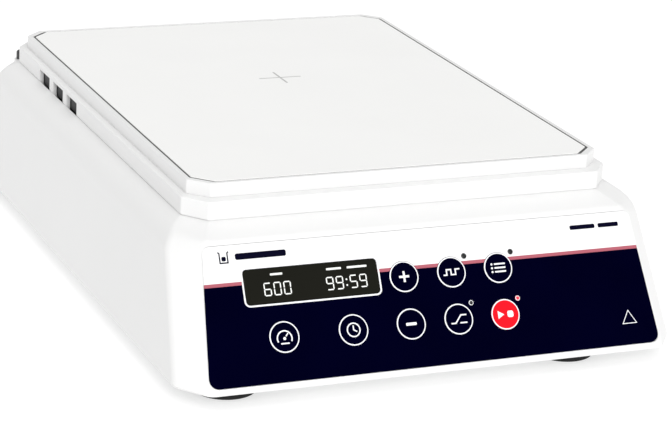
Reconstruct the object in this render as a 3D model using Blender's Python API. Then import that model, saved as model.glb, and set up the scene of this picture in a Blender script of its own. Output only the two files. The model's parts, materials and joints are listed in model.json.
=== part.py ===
"""Large-volume magnetic stirrer: a low bench box with a keypad front, an inset
top plate and a motor-driven pair of magnets under it.

Metres, +Z up, +Y to the rear. The origin is at the centre of the footprint, on
the surface that the feet stand on.
"""
import math

import bmesh
import bpy
from mathutils import Matrix, Vector

for old in list(bpy.data.objects):
    bpy.data.objects.remove(old, do_unlink=True)

MM = 0.001
GAP = 0.3 * MM                    # clearance between pieces that meet

# ---- Driving dimensions -----------------------------------------------------
BASE_WIDTH = 360 * MM             # housing at its lower edge
BASE_DEPTH = 496 * MM
FOOT_HEIGHT = 10 * MM             # underside of the housing above the bench
BODY_HEIGHT = 92.5 * MM           # underside to the foot of the plinth
RIDGE_DROP = 6.5 * MM             # plinth foot down to the shoulder's ridge
SHOULDER_SIDE = 16.3 * MM         # plinth wall out to the ridge, at the sides
SHOULDER_REAR = 12 * MM
SHOULDER_FRONT = 22.348 * MM
SIDE_DRAFT = 8.6 * MM             # how far a side wall leans in on its way up
WALL = 3 * MM
PANEL_TILT = math.radians(30)     # keypad face, leaning back from upright
CORNER_X = 16.7 * MM              # cut corners of the housing
CORNER_Y = 22 * MM
BASE_BEVEL = 2 * MM
BEND_LOW = 5 * MM                 # the shoulder's bend starts this far below the ridge
BEND_HIGH = 2.5 * MM              # and ends this far above it

PLINTH_HEIGHT = 12.8 * MM
PLINTH_CORNER_X = 13.4 * MM
PLINTH_CORNER_Y = 16.4 * MM
DECK = 2 * MM                     # top skin of the housing

TRAY_FROM_SIDE = 5.1 * MM         # tray's wall in from the plinth's
TRAY_FROM_END = 9 * MM
TRAY_HEIGHT = 9.2 * MM
TRAY_CORNER = 12.5 * MM
TRAY_RIM = 3.4 * MM
TRAY_FLOOR = 2.5 * MM
PLATE_THICK = 4 * MM
PLATE_GROOVE = 0.8 * MM

OVERLAY_THICK = 1 * MM
OVERLAY_HEIGHT = 91.5 * MM        # measured up the sloping face
OVERLAY_LOW = 5.2 * MM            # lower edge above the housing's lower edge
OVERLAY_EDGE = 0.6 * MM           # margin to the housing's cut corners
OVERLAY_RADII = [7 * MM, 7 * MM, 4.7 * MM, 4.7 * MM]

KEY_RADIUS = 10.3 * MM
KEY_HEIGHT = 4 * MM
KEY_PROUD = 0.3 * MM
KEY_TRAVEL = 0.5 * MM
KEY_PITCH = 34.3 * MM
KEY_ROW_HIGH = 60.6 * MM          # above the overlay's lower edge
KEY_ROW_LOW = 29.1 * MM
KEY_COLUMN = 16 * MM              # middle column's distance from the centre line
LED_RADIUS = 1.7 * MM
LED_UP = 10 * MM                  # lamp above and right of its key
LED_RIGHT = 10.8 * MM
WINDOW_WIDTH = 93 * MM
WINDOW_HEIGHT = 23 * MM
WINDOW_X = -83 * MM
WINDOW_UP = 63 * MM
WINDOW_CORNER = 2.5 * MM
DOME_THICK = 0.8 * MM             # sprung sheet under the keys
BOARD_THICK = 1.6 * MM
DISPLAY_BOARD = (250 * MM, 68 * MM)
DISPLAY_BOARD_AT = (-28 * MM, 48 * MM)

FOOT_RADIUS = 21.5 * MM
FOOT_FROM_LEFT = 40.6 * MM          # foot centres from the housing's lower edges
FOOT_FROM_RIGHT = 74 * MM
FOOT_SETBACK = 37.5 * MM
FOOT_WELL_RADIUS = 5 * MM
FOOT_WELL_DEPTH = 4 * MM
BASE_PLATE = 2 * MM
SCREW_RADIUS = 2 * MM
SCREW_LENGTH = 12 * MM
BOSS_SIZE = 12 * MM               # screw bosses on the side walls
BOSS_HEIGHT = 15 * MM
BOSS_FROM_MIDDLE = 150 * MM

DRIVE_BACK = 31 * MM              # drive axis behind the plate's centre
MOTOR_RADIUS = 42 * MM
MOTOR_HEIGHT = 46 * MM
SHAFT_RADIUS = 5 * MM
BEARING_RADIUS = 11 * MM
BEARING_HEIGHT = 7 * MM
BEARING_SINK = 1 * MM             # bearing's face below the motor's
CARRIER_LENGTH = 170 * MM
CARRIER_WIDTH = 46 * MM
CARRIER_THICK = 6 * MM
MAGNET_RADIUS = 20 * MM
MAGNET_HEIGHT = 10 * MM
MAGNET_OFFSET = 60 * MM
DAMPER_RADIUS = 7 * MM
DAMPER_HEIGHT = 7 * MM
BRACKET_SIZE = 116 * MM
BRACKET_THICK = 3 * MM

VENT_LENGTH = 25.4 * MM
VENT_HEIGHT = 9.2 * MM
VENT_PITCH = 34.2 * MM
VENT_FIRST = 51.5 * MM            # first vent's middle behind the plate's centre
VENT_COUNT = 3
VENT_SILL = 0.6 * MM              # vent's lower edge above the plinth's foot

BOARD_LIFT = 8 * MM               # boards above the base plate
PSU_SIZE = (84 * MM, 120 * MM)
PSU_FROM_SIDE = 70 * MM           # board's middle from the housing's lower edge
PSU_FROM_REAR = 120 * MM
CONTROL_SIZE = (80 * MM, 130 * MM)
CONTROL_FROM_SIDE = 68 * MM
CONTROL_AHEAD = 20 * MM           # board's middle ahead of the plate's centre
LEAD_RADIUS = 2.2 * MM
LEAD_HEIGHT = 26 * MM             # leads above the base plate

INLET_X = -112 * MM
SWITCH_X = -58 * MM
REAR_Z = 50 * MM                  # height of the rear fittings' middle
INLET_WIDTH = 30 * MM
INLET_HEIGHT = 38 * MM
INLET_DEPTH = 24 * MM
FLANGE = 2.5 * MM                 # flanges stand this far out of the rear wall
SOCKET_WIDTH = 24 * MM
SOCKET_HEIGHT = 16.5 * MM
SOCKET_UP = 7.5 * MM
SOCKET_DEPTH = 18 * MM
DRAWER_WIDTH = 22 * MM
DRAWER_HEIGHT = 9 * MM
DRAWER_DOWN = -10.5 * MM
DRAWER_DEPTH = 20 * MM
SWITCH_WIDTH = 21 * MM
SWITCH_HEIGHT = 29 * MM
SWITCH_DEPTH = 18 * MM
ROCKER_WIDTH = 16 * MM
ROCKER_DISH = 2 * MM
ROCKER_HEIGHT = 24 * MM
ROCKER_PROUD = 5.5 * MM           # rocker's ends beyond the rear wall, when level
ROCKER_SWING = math.radians(8)    # to each side of level

ROD_RADIUS = 4 * MM               # plug of the support-rod socket
ROD_FROM_SIDE = 8 * MM           # socket's axis in from the plinth's side wall
ROD_BEHIND = 4.6 * MM             # and behind its rear wall
ROD_BOSS = 5.5 * MM
ROD_BOSS_DEPTH = 12 * MM
ROD_SINK = 3 * MM                 # plug's rim below the plinth's foot
ROD_PROUD = 3.5 * MM

# ---- Worked out from the driving dimensions ---------------------------------
TILT_TAN = math.tan(PANEL_TILT)
ROCKER_REACH = ROCKER_PROUD * math.cos(ROCKER_SWING) + ROCKER_HEIGHT / 2 * math.sin(ROCKER_SWING)
FRONT_Y = -(BASE_DEPTH + ROCKER_REACH + BASE_BEVEL * TILT_TAN) / 2
REAR_Y = FRONT_Y + BASE_DEPTH
FLOOR_Z = FOOT_HEIGHT
PLINTH_Z = FOOT_HEIGHT + BODY_HEIGHT
RIDGE_Z = PLINTH_Z - RIDGE_DROP
DECK_Z = PLINTH_Z + PLINTH_HEIGHT
RIDGE_HALF = BASE_WIDTH / 2 - SIDE_DRAFT
PLINTH_HALF = RIDGE_HALF - SHOULDER_SIDE
RIDGE_FRONT = FRONT_Y + (RIDGE_Z - FLOOR_Z) * TILT_TAN
PLINTH_FRONT = RIDGE_FRONT + SHOULDER_FRONT
PLINTH_REAR = REAR_Y - SHOULDER_REAR
PLATE_Y = (PLINTH_FRONT + PLINTH_REAR) / 2
TRAY_WIDTH = 2 * (PLINTH_HALF - TRAY_FROM_SIDE)
TRAY_DEPTH = PLINTH_REAR - PLINTH_FRONT - 2 * TRAY_FROM_END
FOOT_LEFT = FOOT_FROM_LEFT - BASE_WIDTH / 2
FOOT_RIGHT = BASE_WIDTH / 2 - FOOT_FROM_RIGHT
PSU_X = PSU_FROM_SIDE - BASE_WIDTH / 2
CONTROL_X = BASE_WIDTH / 2 - CONTROL_FROM_SIDE
DRIVE_Y = PLATE_Y + DRIVE_BACK
PANEL_ORIGIN = Vector((0, FRONT_Y, FLOOR_Z)) + OVERLAY_LOW * Vector(
    (0, math.sin(PANEL_TILT), math.cos(PANEL_TILT)))
# Columns of this matrix: right, up the face, out of the face.
PANEL = Matrix.Translation(PANEL_ORIGIN) @ Matrix(
    ((1, 0, 0, 0),
     (0, math.sin(PANEL_TILT), -math.cos(PANEL_TILT), 0),
     (0, math.cos(PANEL_TILT), math.sin(PANEL_TILT), 0),
     (0, 0, 0, 1)))


# ---- Materials --------------------------------------------------------------
def finish(name, colour, roughness, metallic=0.0):
    """A plain Principled material, made once for each name."""
    mat = bpy.data.materials.get(name) or bpy.data.materials.new(name)
    mat.use_nodes = True
    shader = mat.node_tree.nodes["Principled BSDF"]
    shader.inputs["Base Color"].default_value = (*colour, 1)
    shader.inputs["Roughness"].default_value = roughness
    shader.inputs["Metallic"].default_value = metallic
    return mat


WHITE = finish("white_plastic", (0.86, 0.86, 0.85), 0.4)
PLATE_WHITE = finish("plate_enamel", (0.80, 0.80, 0.78), 0.3)
NAVY = finish("overlay_film", (0.004, 0.005, 0.03), 0.35)
KEY_NAVY = finish("key_film", (0.006, 0.007, 0.04), 0.35)
KEY_RED = finish("key_red", (0.80, 0.02, 0.04), 0.35)
SMOKE = finish("display_window", (0.02, 0.02, 0.015), 0.1)
SEGMENT = finish("display_glass", (0.05, 0.05, 0.04), 0.2)
RUBBER = finish("black_rubber", (0.012, 0.012, 0.012), 0.8)
BLACK = finish("black_plastic", (0.02, 0.02, 0.02), 0.45)
LAMP = finish("lamp_lens", (0.3, 0.05, 0.05), 0.2)
STEEL = finish("zinc_steel", (0.62, 0.62, 0.60), 0.35, 1.0)
BOARD = finish("circuit_board", (0.02, 0.12, 0.05), 0.5)
FOAM = finish("grey_foam", (0.25, 0.25, 0.25), 0.9)
MAGNET = finish("magnet_nickel", (0.55, 0.55, 0.53), 0.25, 1.0)
ALUMINIUM = finish("aluminium", (0.70, 0.71, 0.72), 0.35, 1.0)


# ---- Making and cutting solids ----------------------------------------------
def place(mesh_maker, name, mat, matrix=None, smooth=False):
    """Turns a filled bmesh into a named object with its own finish."""
    bm = bmesh.new()
    mesh_maker(bm)
    bmesh.ops.recalc_face_normals(bm, faces=bm.faces)
    mesh = bpy.data.meshes.new(name)
    bm.to_mesh(mesh)
    bm.free()
    mesh.materials.append(mat)
    if smooth:
        mesh.shade_smooth()
        mesh.set_sharp_from_angle(angle=math.radians(35))
    obj = bpy.data.objects.new(name, mesh)
    bpy.context.scene.collection.objects.link(obj)
    if matrix is not None:
        obj.matrix_world = matrix
    return obj


def prism(outline, low, high):
    """A maker of a straight prism on a closed outline of (x, y) points."""
    def make(bm):
        bottom = [bm.verts.new((x, y, low)) for x, y in outline]
        top = [bm.verts.new((x, y, high)) for x, y in outline]
        bm.faces.new(bottom[::-1])
        bm.faces.new(top)
        for i in range(len(outline)):
            j = (i + 1) % len(outline)
            bm.faces.new((bottom[i], bottom[j], top[j], top[i]))
    return make


def stack(rings):
    """A maker of a closed solid through rings of equal point counts."""
    def make(bm):
        loops = [[bm.verts.new(p) for p in ring] for ring in rings]
        bm.faces.new(loops[0][::-1])
        bm.faces.new(loops[-1])
        for low, high in zip(loops, loops[1:]):
            for i in range(len(low)):
                j = (i + 1) % len(low)
                bm.faces.new((low[i], low[j], high[j], high[i]))
    return make


def circle(radius, count=32, x=0.0, y=0.0):
    turn = 2 * math.pi / count
    return [(x + radius * math.cos(i * turn), y + radius * math.sin(i * turn)) for i in range(count)]


def rectangle(width, depth, x=0.0, y=0.0):
    w, d = width / 2, depth / 2
    return [(x - w, y - d), (x + w, y - d), (x + w, y + d), (x - w, y + d)]


def rounded(corners, radii, steps=5):
    """The outline through the corners, each rounded by its own radius."""
    points = []
    for i, corner in enumerate(corners):
        here = Vector(corner)
        before = (Vector(corners[i - 1]) - here).normalized()
        after = (Vector(corners[(i + 1) % len(corners)]) - here).normalized()
        half = before.angle(after) / 2
        reach = radii[i] / math.tan(half)
        centre = here + (before + after).normalized() * radii[i] / math.sin(half)
        start = here + before * reach - centre
        end = here + after * reach - centre
        sweep = start.angle(end)
        for s in range(steps + 1):
            t = s / steps
            arm = (start * math.sin((1 - t) * sweep) + end * math.sin(t * sweep)) / math.sin(sweep)
            points.append(tuple(centre + arm))
    return points


def box(low, high):
    """A maker of a plain block between two opposite corners."""
    (x0, y0, z0), (x1, y1, z1) = low, high
    return prism([(x0, y0), (x1, y0), (x1, y1), (x0, y1)], z0, z1)


def many(makers):
    """A maker of several separate solids at once."""
    def make(bm):
        for maker in makers:
            maker(bm)
    return make


def ring_tube(outer, inner, low, high, count=24):
    """A maker of a short round tube."""
    def make(bm):
        loops = [[bm.verts.new((*p, z)) for p in circle(r, count)] for r, z in
                 ((outer, low), (outer, high), (inner, high), (inner, low))]
        for a, b in zip(loops, loops[1:] + loops[:1]):
            for i in range(count):
                j = (i + 1) % count
                bm.faces.new((a[i], a[j], b[j], b[i]))
    return make


def cutter(mesh_maker, name, matrix=None):
    obj = place(mesh_maker, name, BLACK, matrix)
    obj.hide_render = True
    obj.display_type = "WIRE"
    return obj


def boolean(target, tool, operation="DIFFERENCE"):
    mod = target.modifiers.new(tool.name, "BOOLEAN")
    mod.operation = operation
    mod.solver = "EXACT"
    mod.object = tool


def drill(target, mesh_maker, name, matrix=None):
    boolean(target, cutter(mesh_maker, name, matrix))


def join(target, mesh_maker, name, matrix=None):
    """Joins a further block to a piece, so that it stays one solid."""
    boolean(target, cutter(mesh_maker, name, matrix), "UNION")


# ---- Housing: one moulded shell, open underneath ----------------------------
def cut_rectangle(half, front, rear, corner_x, corner_y, z):
    """A rectangle with cut corners at one height."""
    return [(-half + corner_x, front, z), (half - corner_x, front, z),
            (half, front + corner_y, z), (half, rear - corner_y, z),
            (half - corner_x, rear, z), (-half + corner_x, rear, z),
            (-half, rear - corner_y, z), (-half, front + corner_y, z)]


def wall_half(z):
    return BASE_WIDTH / 2 - SIDE_DRAFT * (z - FLOOR_Z) / (RIDGE_Z - FLOOR_Z)


def wall_front(z):
    return FRONT_Y + (z - FLOOR_Z) * TILT_TAN


def housing_rings(inset):
    """Rings from the lower edge to the plinth's top, moved in by a wall's thickness."""
    slant = inset / math.cos(PANEL_TILT)
    wall_z = RIDGE_Z - BEND_LOW
    slope_z = RIDGE_Z + BEND_HIGH
    lift = BEND_HIGH / RIDGE_DROP

    def ring(half, front, rear, z, corner=(CORNER_X, CORNER_Y)):
        return cut_rectangle(half - inset, front + slant, rear - inset, *corner, z)

    rings = []
    if inset == 0:
        rings.append(ring(wall_half(FLOOR_Z) - BASE_BEVEL, FRONT_Y + BASE_BEVEL,
                          REAR_Y - BASE_BEVEL, FLOOR_Z))
        rings.append(ring(wall_half(FLOOR_Z + BASE_BEVEL), wall_front(FLOOR_Z + BASE_BEVEL),
                          REAR_Y, FLOOR_Z + BASE_BEVEL))
    else:
        rings.append(ring(wall_half(FLOOR_Z), FRONT_Y, REAR_Y, FLOOR_Z))
    start = (wall_half(wall_z), wall_front(wall_z), REAR_Y, wall_z)
    bend = (RIDGE_HALF, RIDGE_FRONT, REAR_Y, RIDGE_Z)
    end = (RIDGE_HALF - SHOULDER_SIDE * lift, RIDGE_FRONT + SHOULDER_FRONT * lift,
           REAR_Y - SHOULDER_REAR * lift, slope_z)
    for i in range(5):
        t = i / 4
        half, front, rear, z = (
            (1 - t) ** 2 * a + 2 * t * (1 - t) * b + t * t * c for a, b, c in zip(start, bend, end))
        rings.append(ring(half, front, rear, z - inset * t))
    plinth = (PLINTH_CORNER_X, PLINTH_CORNER_Y)
    if inset == 0:
        rings.append(ring(PLINTH_HALF, PLINTH_FRONT, PLINTH_REAR, PLINTH_Z, plinth))
        rings.append(ring(PLINTH_HALF, PLINTH_FRONT, PLINTH_REAR, DECK_Z - MM, plinth))
        rings.append(ring(PLINTH_HALF - MM, PLINTH_FRONT + MM, PLINTH_REAR - MM, DECK_Z, plinth))
    else:
        flat = [(x, min(y, PLINTH_REAR - inset), z) for x, y, z in
                ring(PLINTH_HALF, PLINTH_FRONT, PLINTH_REAR, PLINTH_Z - inset, plinth)]
        rings.append(flat)
        rings.append([(x, y, DECK_Z - DECK) for x, y, z in flat])
    return rings


def housing_maker(bm):
    outer = [[bm.verts.new(p) for p in ring] for ring in housing_rings(0)]
    inner = [[bm.verts.new(p) for p in ring] for ring in housing_rings(WALL)]
    count = len(outer[0])
    for loops in (outer, inner):
        bm.faces.new(loops[-1])
        for low, high in zip(loops, loops[1:]):
            for i in range(count):
                j = (i + 1) % count
                bm.faces.new((low[i], low[j], high[j], high[i]))
    for i in range(count):
        j = (i + 1) % count
        bm.faces.new((inner[0][i], inner[0][j], outer[0][j], outer[0][i]))


housing = place(housing_maker, "housing_shell", WHITE)

# Overlay outline, in the plane of the sloping face: it fills the flat between
# the cut corners, so it widens towards the bottom as the walls do.
FACE_LOW = wall_half(FLOOR_Z) - CORNER_X - OVERLAY_EDGE
overlay_top_z = FLOOR_Z + (OVERLAY_LOW + OVERLAY_HEIGHT) * math.cos(PANEL_TILT)
FACE_HIGH = wall_half(overlay_top_z) - CORNER_X - OVERLAY_EDGE
overlay_corners = [(-FACE_LOW, 0), (FACE_LOW, 0), (FACE_HIGH, OVERLAY_HEIGHT), (-FACE_HIGH, OVERLAY_HEIGHT)]


def grown(corners, amount):
    return [(x + math.copysign(amount, x), y + (amount if y > 0 else -amount)) for x, y in corners]


recess = rounded(grown(overlay_corners, GAP), OVERLAY_RADII)
drill(housing, prism(recess, -OVERLAY_THICK - GAP, 5 * MM), "overlay_recess", PANEL)

KEYS = {
    "key_plus": (KEY_COLUMN - KEY_PITCH, KEY_ROW_HIGH),
    "key_pulse": (KEY_COLUMN, KEY_ROW_HIGH),
    "key_program": (KEY_COLUMN + KEY_PITCH, KEY_ROW_HIGH),
    "key_minus": (KEY_COLUMN - KEY_PITCH, KEY_ROW_LOW),
    "key_ramp": (KEY_COLUMN, KEY_ROW_LOW),
    "key_start": (KEY_COLUMN + KEY_PITCH, KEY_ROW_LOW),
    "key_time": (-59.3 * MM, KEY_ROW_LOW),
    "key_speed": (-107.4 * MM, KEY_ROW_LOW),
}
LAMPED = {"lamp_pulse": "key_pulse", "lamp_program": "key_program",
          "lamp_ramp": "key_ramp", "lamp_start": "key_start"}


def lamp_centre(key):
    x, up = KEYS[key]
    return x + LED_RIGHT, up + LED_UP


holes = [circle(KEY_RADIUS + GAP, 32, x, up) for x, up in KEYS.values()]
holes += [circle(LED_RADIUS + GAP, 12, *lamp_centre(key)) for key in LAMPED.values()]
window_outline, window_hole = (
    rounded(rectangle(WINDOW_WIDTH + 2 * gap, WINDOW_HEIGHT + 2 * gap, WINDOW_X, WINDOW_UP),
            [WINDOW_CORNER] * 4, 3) for gap in (0, GAP))
window_light = rectangle(WINDOW_WIDTH - 6 * MM, WINDOW_HEIGHT - 5 * MM, WINDOW_X, WINDOW_UP)


THROUGH = (-20 * MM, 5 * MM)      # a cut right through the sloping wall
drill(housing, many([prism(h, *THROUGH) for h in holes + [window_light]]), "panel_holes", PANEL)

# Vents: a row of slots low in the plinth's side walls, near the rear.
vent_z = PLINTH_Z + VENT_SILL
vents = []
for side in (-1, 1):
    for i in range(VENT_COUNT):
        middle = PLATE_Y + VENT_FIRST + i * VENT_PITCH
        x0, x1 = sorted((side * (PLINTH_HALF - 2 * WALL), side * (PLINTH_HALF + WALL)))
        vents.append(box((x0, middle - VENT_LENGTH / 2, vent_z),
                         (x1, middle + VENT_LENGTH / 2, vent_z + VENT_HEIGHT)))
drill(housing, many(vents), "vent_slots")

# ---- Base plate, its screws and the feet ------------------------------------
plate_inset = WALL + GAP
base_outline = [(x, y) for x, y, _ in cut_rectangle(
    wall_half(FLOOR_Z + BASE_PLATE) - plate_inset,
    wall_front(FLOOR_Z + BASE_PLATE) + plate_inset / math.cos(PANEL_TILT),
    REAR_Y - plate_inset, CORNER_X, CORNER_Y, 0)]
base_plate = place(prism(base_outline, FLOOR_Z, FLOOR_Z + BASE_PLATE), "base_plate", STEEL)
FEET = {
    "foot_front_left": (FOOT_LEFT, FRONT_Y + FOOT_SETBACK),
    "foot_front_right": (FOOT_RIGHT, FRONT_Y + FOOT_SETBACK),
    "foot_rear_left": (FOOT_LEFT, REAR_Y - FOOT_SETBACK),
    "foot_rear_right": (FOOT_RIGHT, REAR_Y - FOOT_SETBACK),
}
foot_top = FLOOR_Z - GAP
for name, (x, y) in FEET.items():
    rings = [[(*p, z) for p in circle(r, 32, x, y)] for r, z in
             ((FOOT_RADIUS - 1.5 * MM, 0), (FOOT_RADIUS, 1.5 * MM), (FOOT_RADIUS, foot_top))]
    foot = place(stack(rings), name, RUBBER, smooth=True)
    drill(foot, prism(circle(FOOT_WELL_RADIUS, 20, x, y), -MM, FOOT_WELL_DEPTH), name + "_well")
    drill(foot, prism(circle(SCREW_RADIUS + GAP, 16, x, y), -MM, FLOOR_Z + MM), name + "_bore")
    drill(base_plate, prism(circle(SCREW_RADIUS + GAP, 16, x, y), FLOOR_Z - MM, FLOOR_Z + 3 * MM),
          name + "_hole")
    head = FOOT_WELL_DEPTH - GAP
    screw = [[(*p, z) for p in circle(r, 16, x, y)] for r, z in
             ((3.4 * MM, head - 2.2 * MM), (3.8 * MM, head - 1.4 * MM), (3.8 * MM, head),
              (SCREW_RADIUS, head), (SCREW_RADIUS, FLOOR_Z + BASE_PLATE + 3 * MM))]
    place(stack(screw), name.replace("foot", "foot_screw"), STEEL, smooth=True)

# ---- Tray, pad and top plate ------------------------------------------------
tray_z = DECK_Z + GAP
tray_top = tray_z + TRAY_HEIGHT


def tray_outline(inset):
    return [(x, y) for x, y, _ in cut_rectangle(
        TRAY_WIDTH / 2 - inset, PLATE_Y - TRAY_DEPTH / 2 + inset, PLATE_Y + TRAY_DEPTH / 2 - inset,
        TRAY_CORNER, TRAY_CORNER, 0)]


tray = place(prism(tray_outline(0), tray_z, tray_top), "tray_frame", WHITE)
drill(tray, prism(tray_outline(TRAY_RIM), tray_z + TRAY_FLOOR, tray_top + MM), "tray_pocket")
pad_low = tray_z + TRAY_FLOOR + GAP
plate_low = tray_top - PLATE_THICK
place(prism(tray_outline(TRAY_RIM + PLATE_GROOVE + MM), pad_low, plate_low - GAP), "plate_pad", FOAM)
place(prism(tray_outline(TRAY_RIM + PLATE_GROOVE), plate_low, tray_top), "top_plate", PLATE_WHITE)

# ---- Keypad front -----------------------------------------------------------
overlay = place(prism(rounded(overlay_corners, OVERLAY_RADII), -OVERLAY_THICK, 0), "control_overlay",
                NAVY, PANEL)
drill(overlay, many([prism(h, -5 * MM, 5 * MM) for h in holes]
                    + [prism(window_hole, -5 * MM, 5 * MM)]), "overlay_holes", PANEL)
place(prism(window_outline, -OVERLAY_THICK, 0), "display_window", SMOKE, PANEL)

for name, (x, up) in KEYS.items():
    rings = [[(*p, z) for p in circle(r, 32)] for r, z in
             ((KEY_RADIUS, -KEY_HEIGHT + KEY_PROUD), (KEY_RADIUS, 0),
              (KEY_RADIUS - 0.3 * MM, KEY_PROUD))]
    place(stack(rings), name, KEY_RED if name == "key_start" else KEY_NAVY,
          PANEL @ Matrix.Translation((x, up, 0)), smooth=True)
for name, key in LAMPED.items():
    place(prism(circle(LED_RADIUS, 12), -KEY_HEIGHT, 0.2 * MM), name, LAMP,
          PANEL @ Matrix.Translation((*lamp_centre(key), 0)), smooth=True)

# Behind the face: dome sheet under the keys, then the board with the display.
dome_top = -KEY_HEIGHT + KEY_PROUD - KEY_TRAVEL - GAP
dome_low = dome_top - DOME_THICK
dome_outline = rectangle(*DISPLAY_BOARD, *DISPLAY_BOARD_AT)
dome = place(prism(dome_outline, dome_low, dome_top), "dome_sheet", FOAM, PANEL)
drill(dome, prism(rectangle(WINDOW_WIDTH + MM, WINDOW_HEIGHT + MM, WINDOW_X, WINDOW_UP),
                  -20 * MM, 0), "dome_window", PANEL)
board_top = dome_low - GAP
place(prism(dome_outline, board_top - BOARD_THICK, board_top), "display_board", BOARD, PANEL)
place(prism(rectangle(WINDOW_WIDTH - 8 * MM, WINDOW_HEIGHT - 7 * MM, WINDOW_X, WINDOW_UP),
            board_top + GAP, -OVERLAY_THICK - 2 * GAP), "display_module", SEGMENT, PANEL)

# ---- Drive: motor on dampers, shaft, carrier and magnets --------------------
at_drive = Matrix.Translation((0, DRIVE_Y, 0))
damper_low = FLOOR_Z + BASE_PLATE + GAP
bracket_low = damper_low + DAMPER_HEIGHT + GAP
motor_low = bracket_low + BRACKET_THICK + GAP
motor_top = motor_low + MOTOR_HEIGHT
bracket = place(prism(rounded(rectangle(BRACKET_SIZE, BRACKET_SIZE), [8 * MM] * 4, 3),
                      bracket_low, bracket_low + BRACKET_THICK), "motor_bracket", STEEL, at_drive)
drill(bracket, prism(circle(BEARING_RADIUS, 24), 0, 1), "bracket_bore", at_drive)
corner = BRACKET_SIZE / 2 - 10 * MM
for i, (sx, sy) in enumerate(((-1, -1), (1, -1), (1, 1), (-1, 1)), 1):
    place(prism(circle(DAMPER_RADIUS, 20, sx * corner, sy * corner), damper_low,
                damper_low + DAMPER_HEIGHT), f"motor_damper_{i}", RUBBER, at_drive, smooth=True)
motor = place(prism(circle(MOTOR_RADIUS, 40), motor_low, motor_top), "motor_body", ALUMINIUM,
              at_drive, smooth=True)
drill(motor, prism(circle(BEARING_RADIUS + GAP, 24), 0, 1), "motor_bore", at_drive)
for name, low in (("bearing_lower", motor_low + BEARING_SINK),
                  ("bearing_upper", motor_top - BEARING_SINK - BEARING_HEIGHT)):
    place(ring_tube(BEARING_RADIUS, SHAFT_RADIUS + GAP, low, low + BEARING_HEIGHT), name, STEEL,
          at_drive, smooth=True)
magnet_top = DECK_Z - DECK - 3 * MM
carrier_top = magnet_top - MAGNET_HEIGHT - GAP
carrier_low = carrier_top - CARRIER_THICK
place(prism(circle(SHAFT_RADIUS, 24), motor_low, carrier_top - MM), "motor_shaft", STEEL, at_drive,
      smooth=True)
half_bar = CARRIER_LENGTH / 2 - CARRIER_WIDTH / 2
ends = [(half_bar + CARRIER_WIDTH / 2 * math.cos(a), CARRIER_WIDTH / 2 * math.sin(a))
        for a in (math.radians(-90 + 15 * i) for i in range(13))]
carrier = place(prism(ends + [(-x, -y) for x, y in ends], carrier_low, carrier_top), "magnet_carrier",
                ALUMINIUM, at_drive)
drill(carrier, prism(circle(SHAFT_RADIUS + GAP, 24), 0, 1), "carrier_bore", at_drive)
for name, side in (("magnet_left", -1), ("magnet_right", 1)):
    place(prism(circle(MAGNET_RADIUS, 28, side * MAGNET_OFFSET, 0), magnet_top - MAGNET_HEIGHT,
                magnet_top), name, MAGNET, at_drive, smooth=True)

# ---- Boards inside ----------------------------------------------------------
board_z = FLOOR_Z + BASE_PLATE + BOARD_LIFT
LEG = 6 * MM
LEG_EDGE = 5 * MM                 # leg's middle in from the board's edges


def loaded_board(name, x, y, width, depth, blocks):
    """A bare board with its tall components standing on it."""
    board = place(box((x - width / 2, y - depth / 2, board_z),
                      (x + width / 2, y + depth / 2, board_z + BOARD_THICK)), name, BOARD)
    for i, (bx, by, bw, bd, bh) in enumerate(blocks):
        join(board, box((x + bx - bw / 2, y + by - bd / 2, board_z + BOARD_THICK / 2),
                        (x + bx + bw / 2, y + by + bd / 2, board_z + BOARD_THICK + bh)), f"{name}_block_{i}")
    # Four legs of moulded spacer keep the board off the base plate.
    legs = [(x + sx * (width / 2 - LEG_EDGE), y + sy * (depth / 2 - LEG_EDGE))
            for sx in (-1, 1) for sy in (-1, 1)]
    leg_low, leg_high = FLOOR_Z + BASE_PLATE + GAP, board_z + BOARD_THICK / 2
    join(board, many([prism(rectangle(LEG, LEG, lx, ly), leg_low, leg_high) for lx, ly in legs]),
         name + "_legs")


PSU_AT = (PSU_X, REAR_Y - PSU_FROM_REAR)
CONTROL_AT = (CONTROL_X, PLATE_Y - CONTROL_AHEAD)
# Each block is a component: its middle from the board's, its width, depth and height.
loaded_board("power_supply_board", *PSU_AT, *PSU_SIZE,
             [(-14 * MM, 18 * MM, 36 * MM, 40 * MM, 28 * MM), (24 * MM, 30 * MM, 18 * MM, 18 * MM, 30 * MM),
              (22 * MM, -24 * MM, 24 * MM, 40 * MM, 18 * MM)])
loaded_board("control_board", *CONTROL_AT, *CONTROL_SIZE,
             [(0, 30 * MM, 22 * MM, 22 * MM, 4 * MM), (18 * MM, -30 * MM, 14 * MM, 44 * MM, 12 * MM),
              (-20 * MM, -34 * MM, 16 * MM, 16 * MM, 10 * MM)])

# ---- Rear fittings: mains inlet, fuse drawer and rocker switch --------------
# Out of the rear face: local x runs to the left as seen from behind, local z is out.
REAR = Matrix.Translation((0, REAR_Y, REAR_Z)) @ Matrix(
    ((-1, 0, 0, 0), (0, 0, 1, 0), (0, 1, 0, 0), (0, 0, 0, 1)))


def rear_at(x):
    return REAR @ Matrix.Translation((-x, 0, 0))


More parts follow.
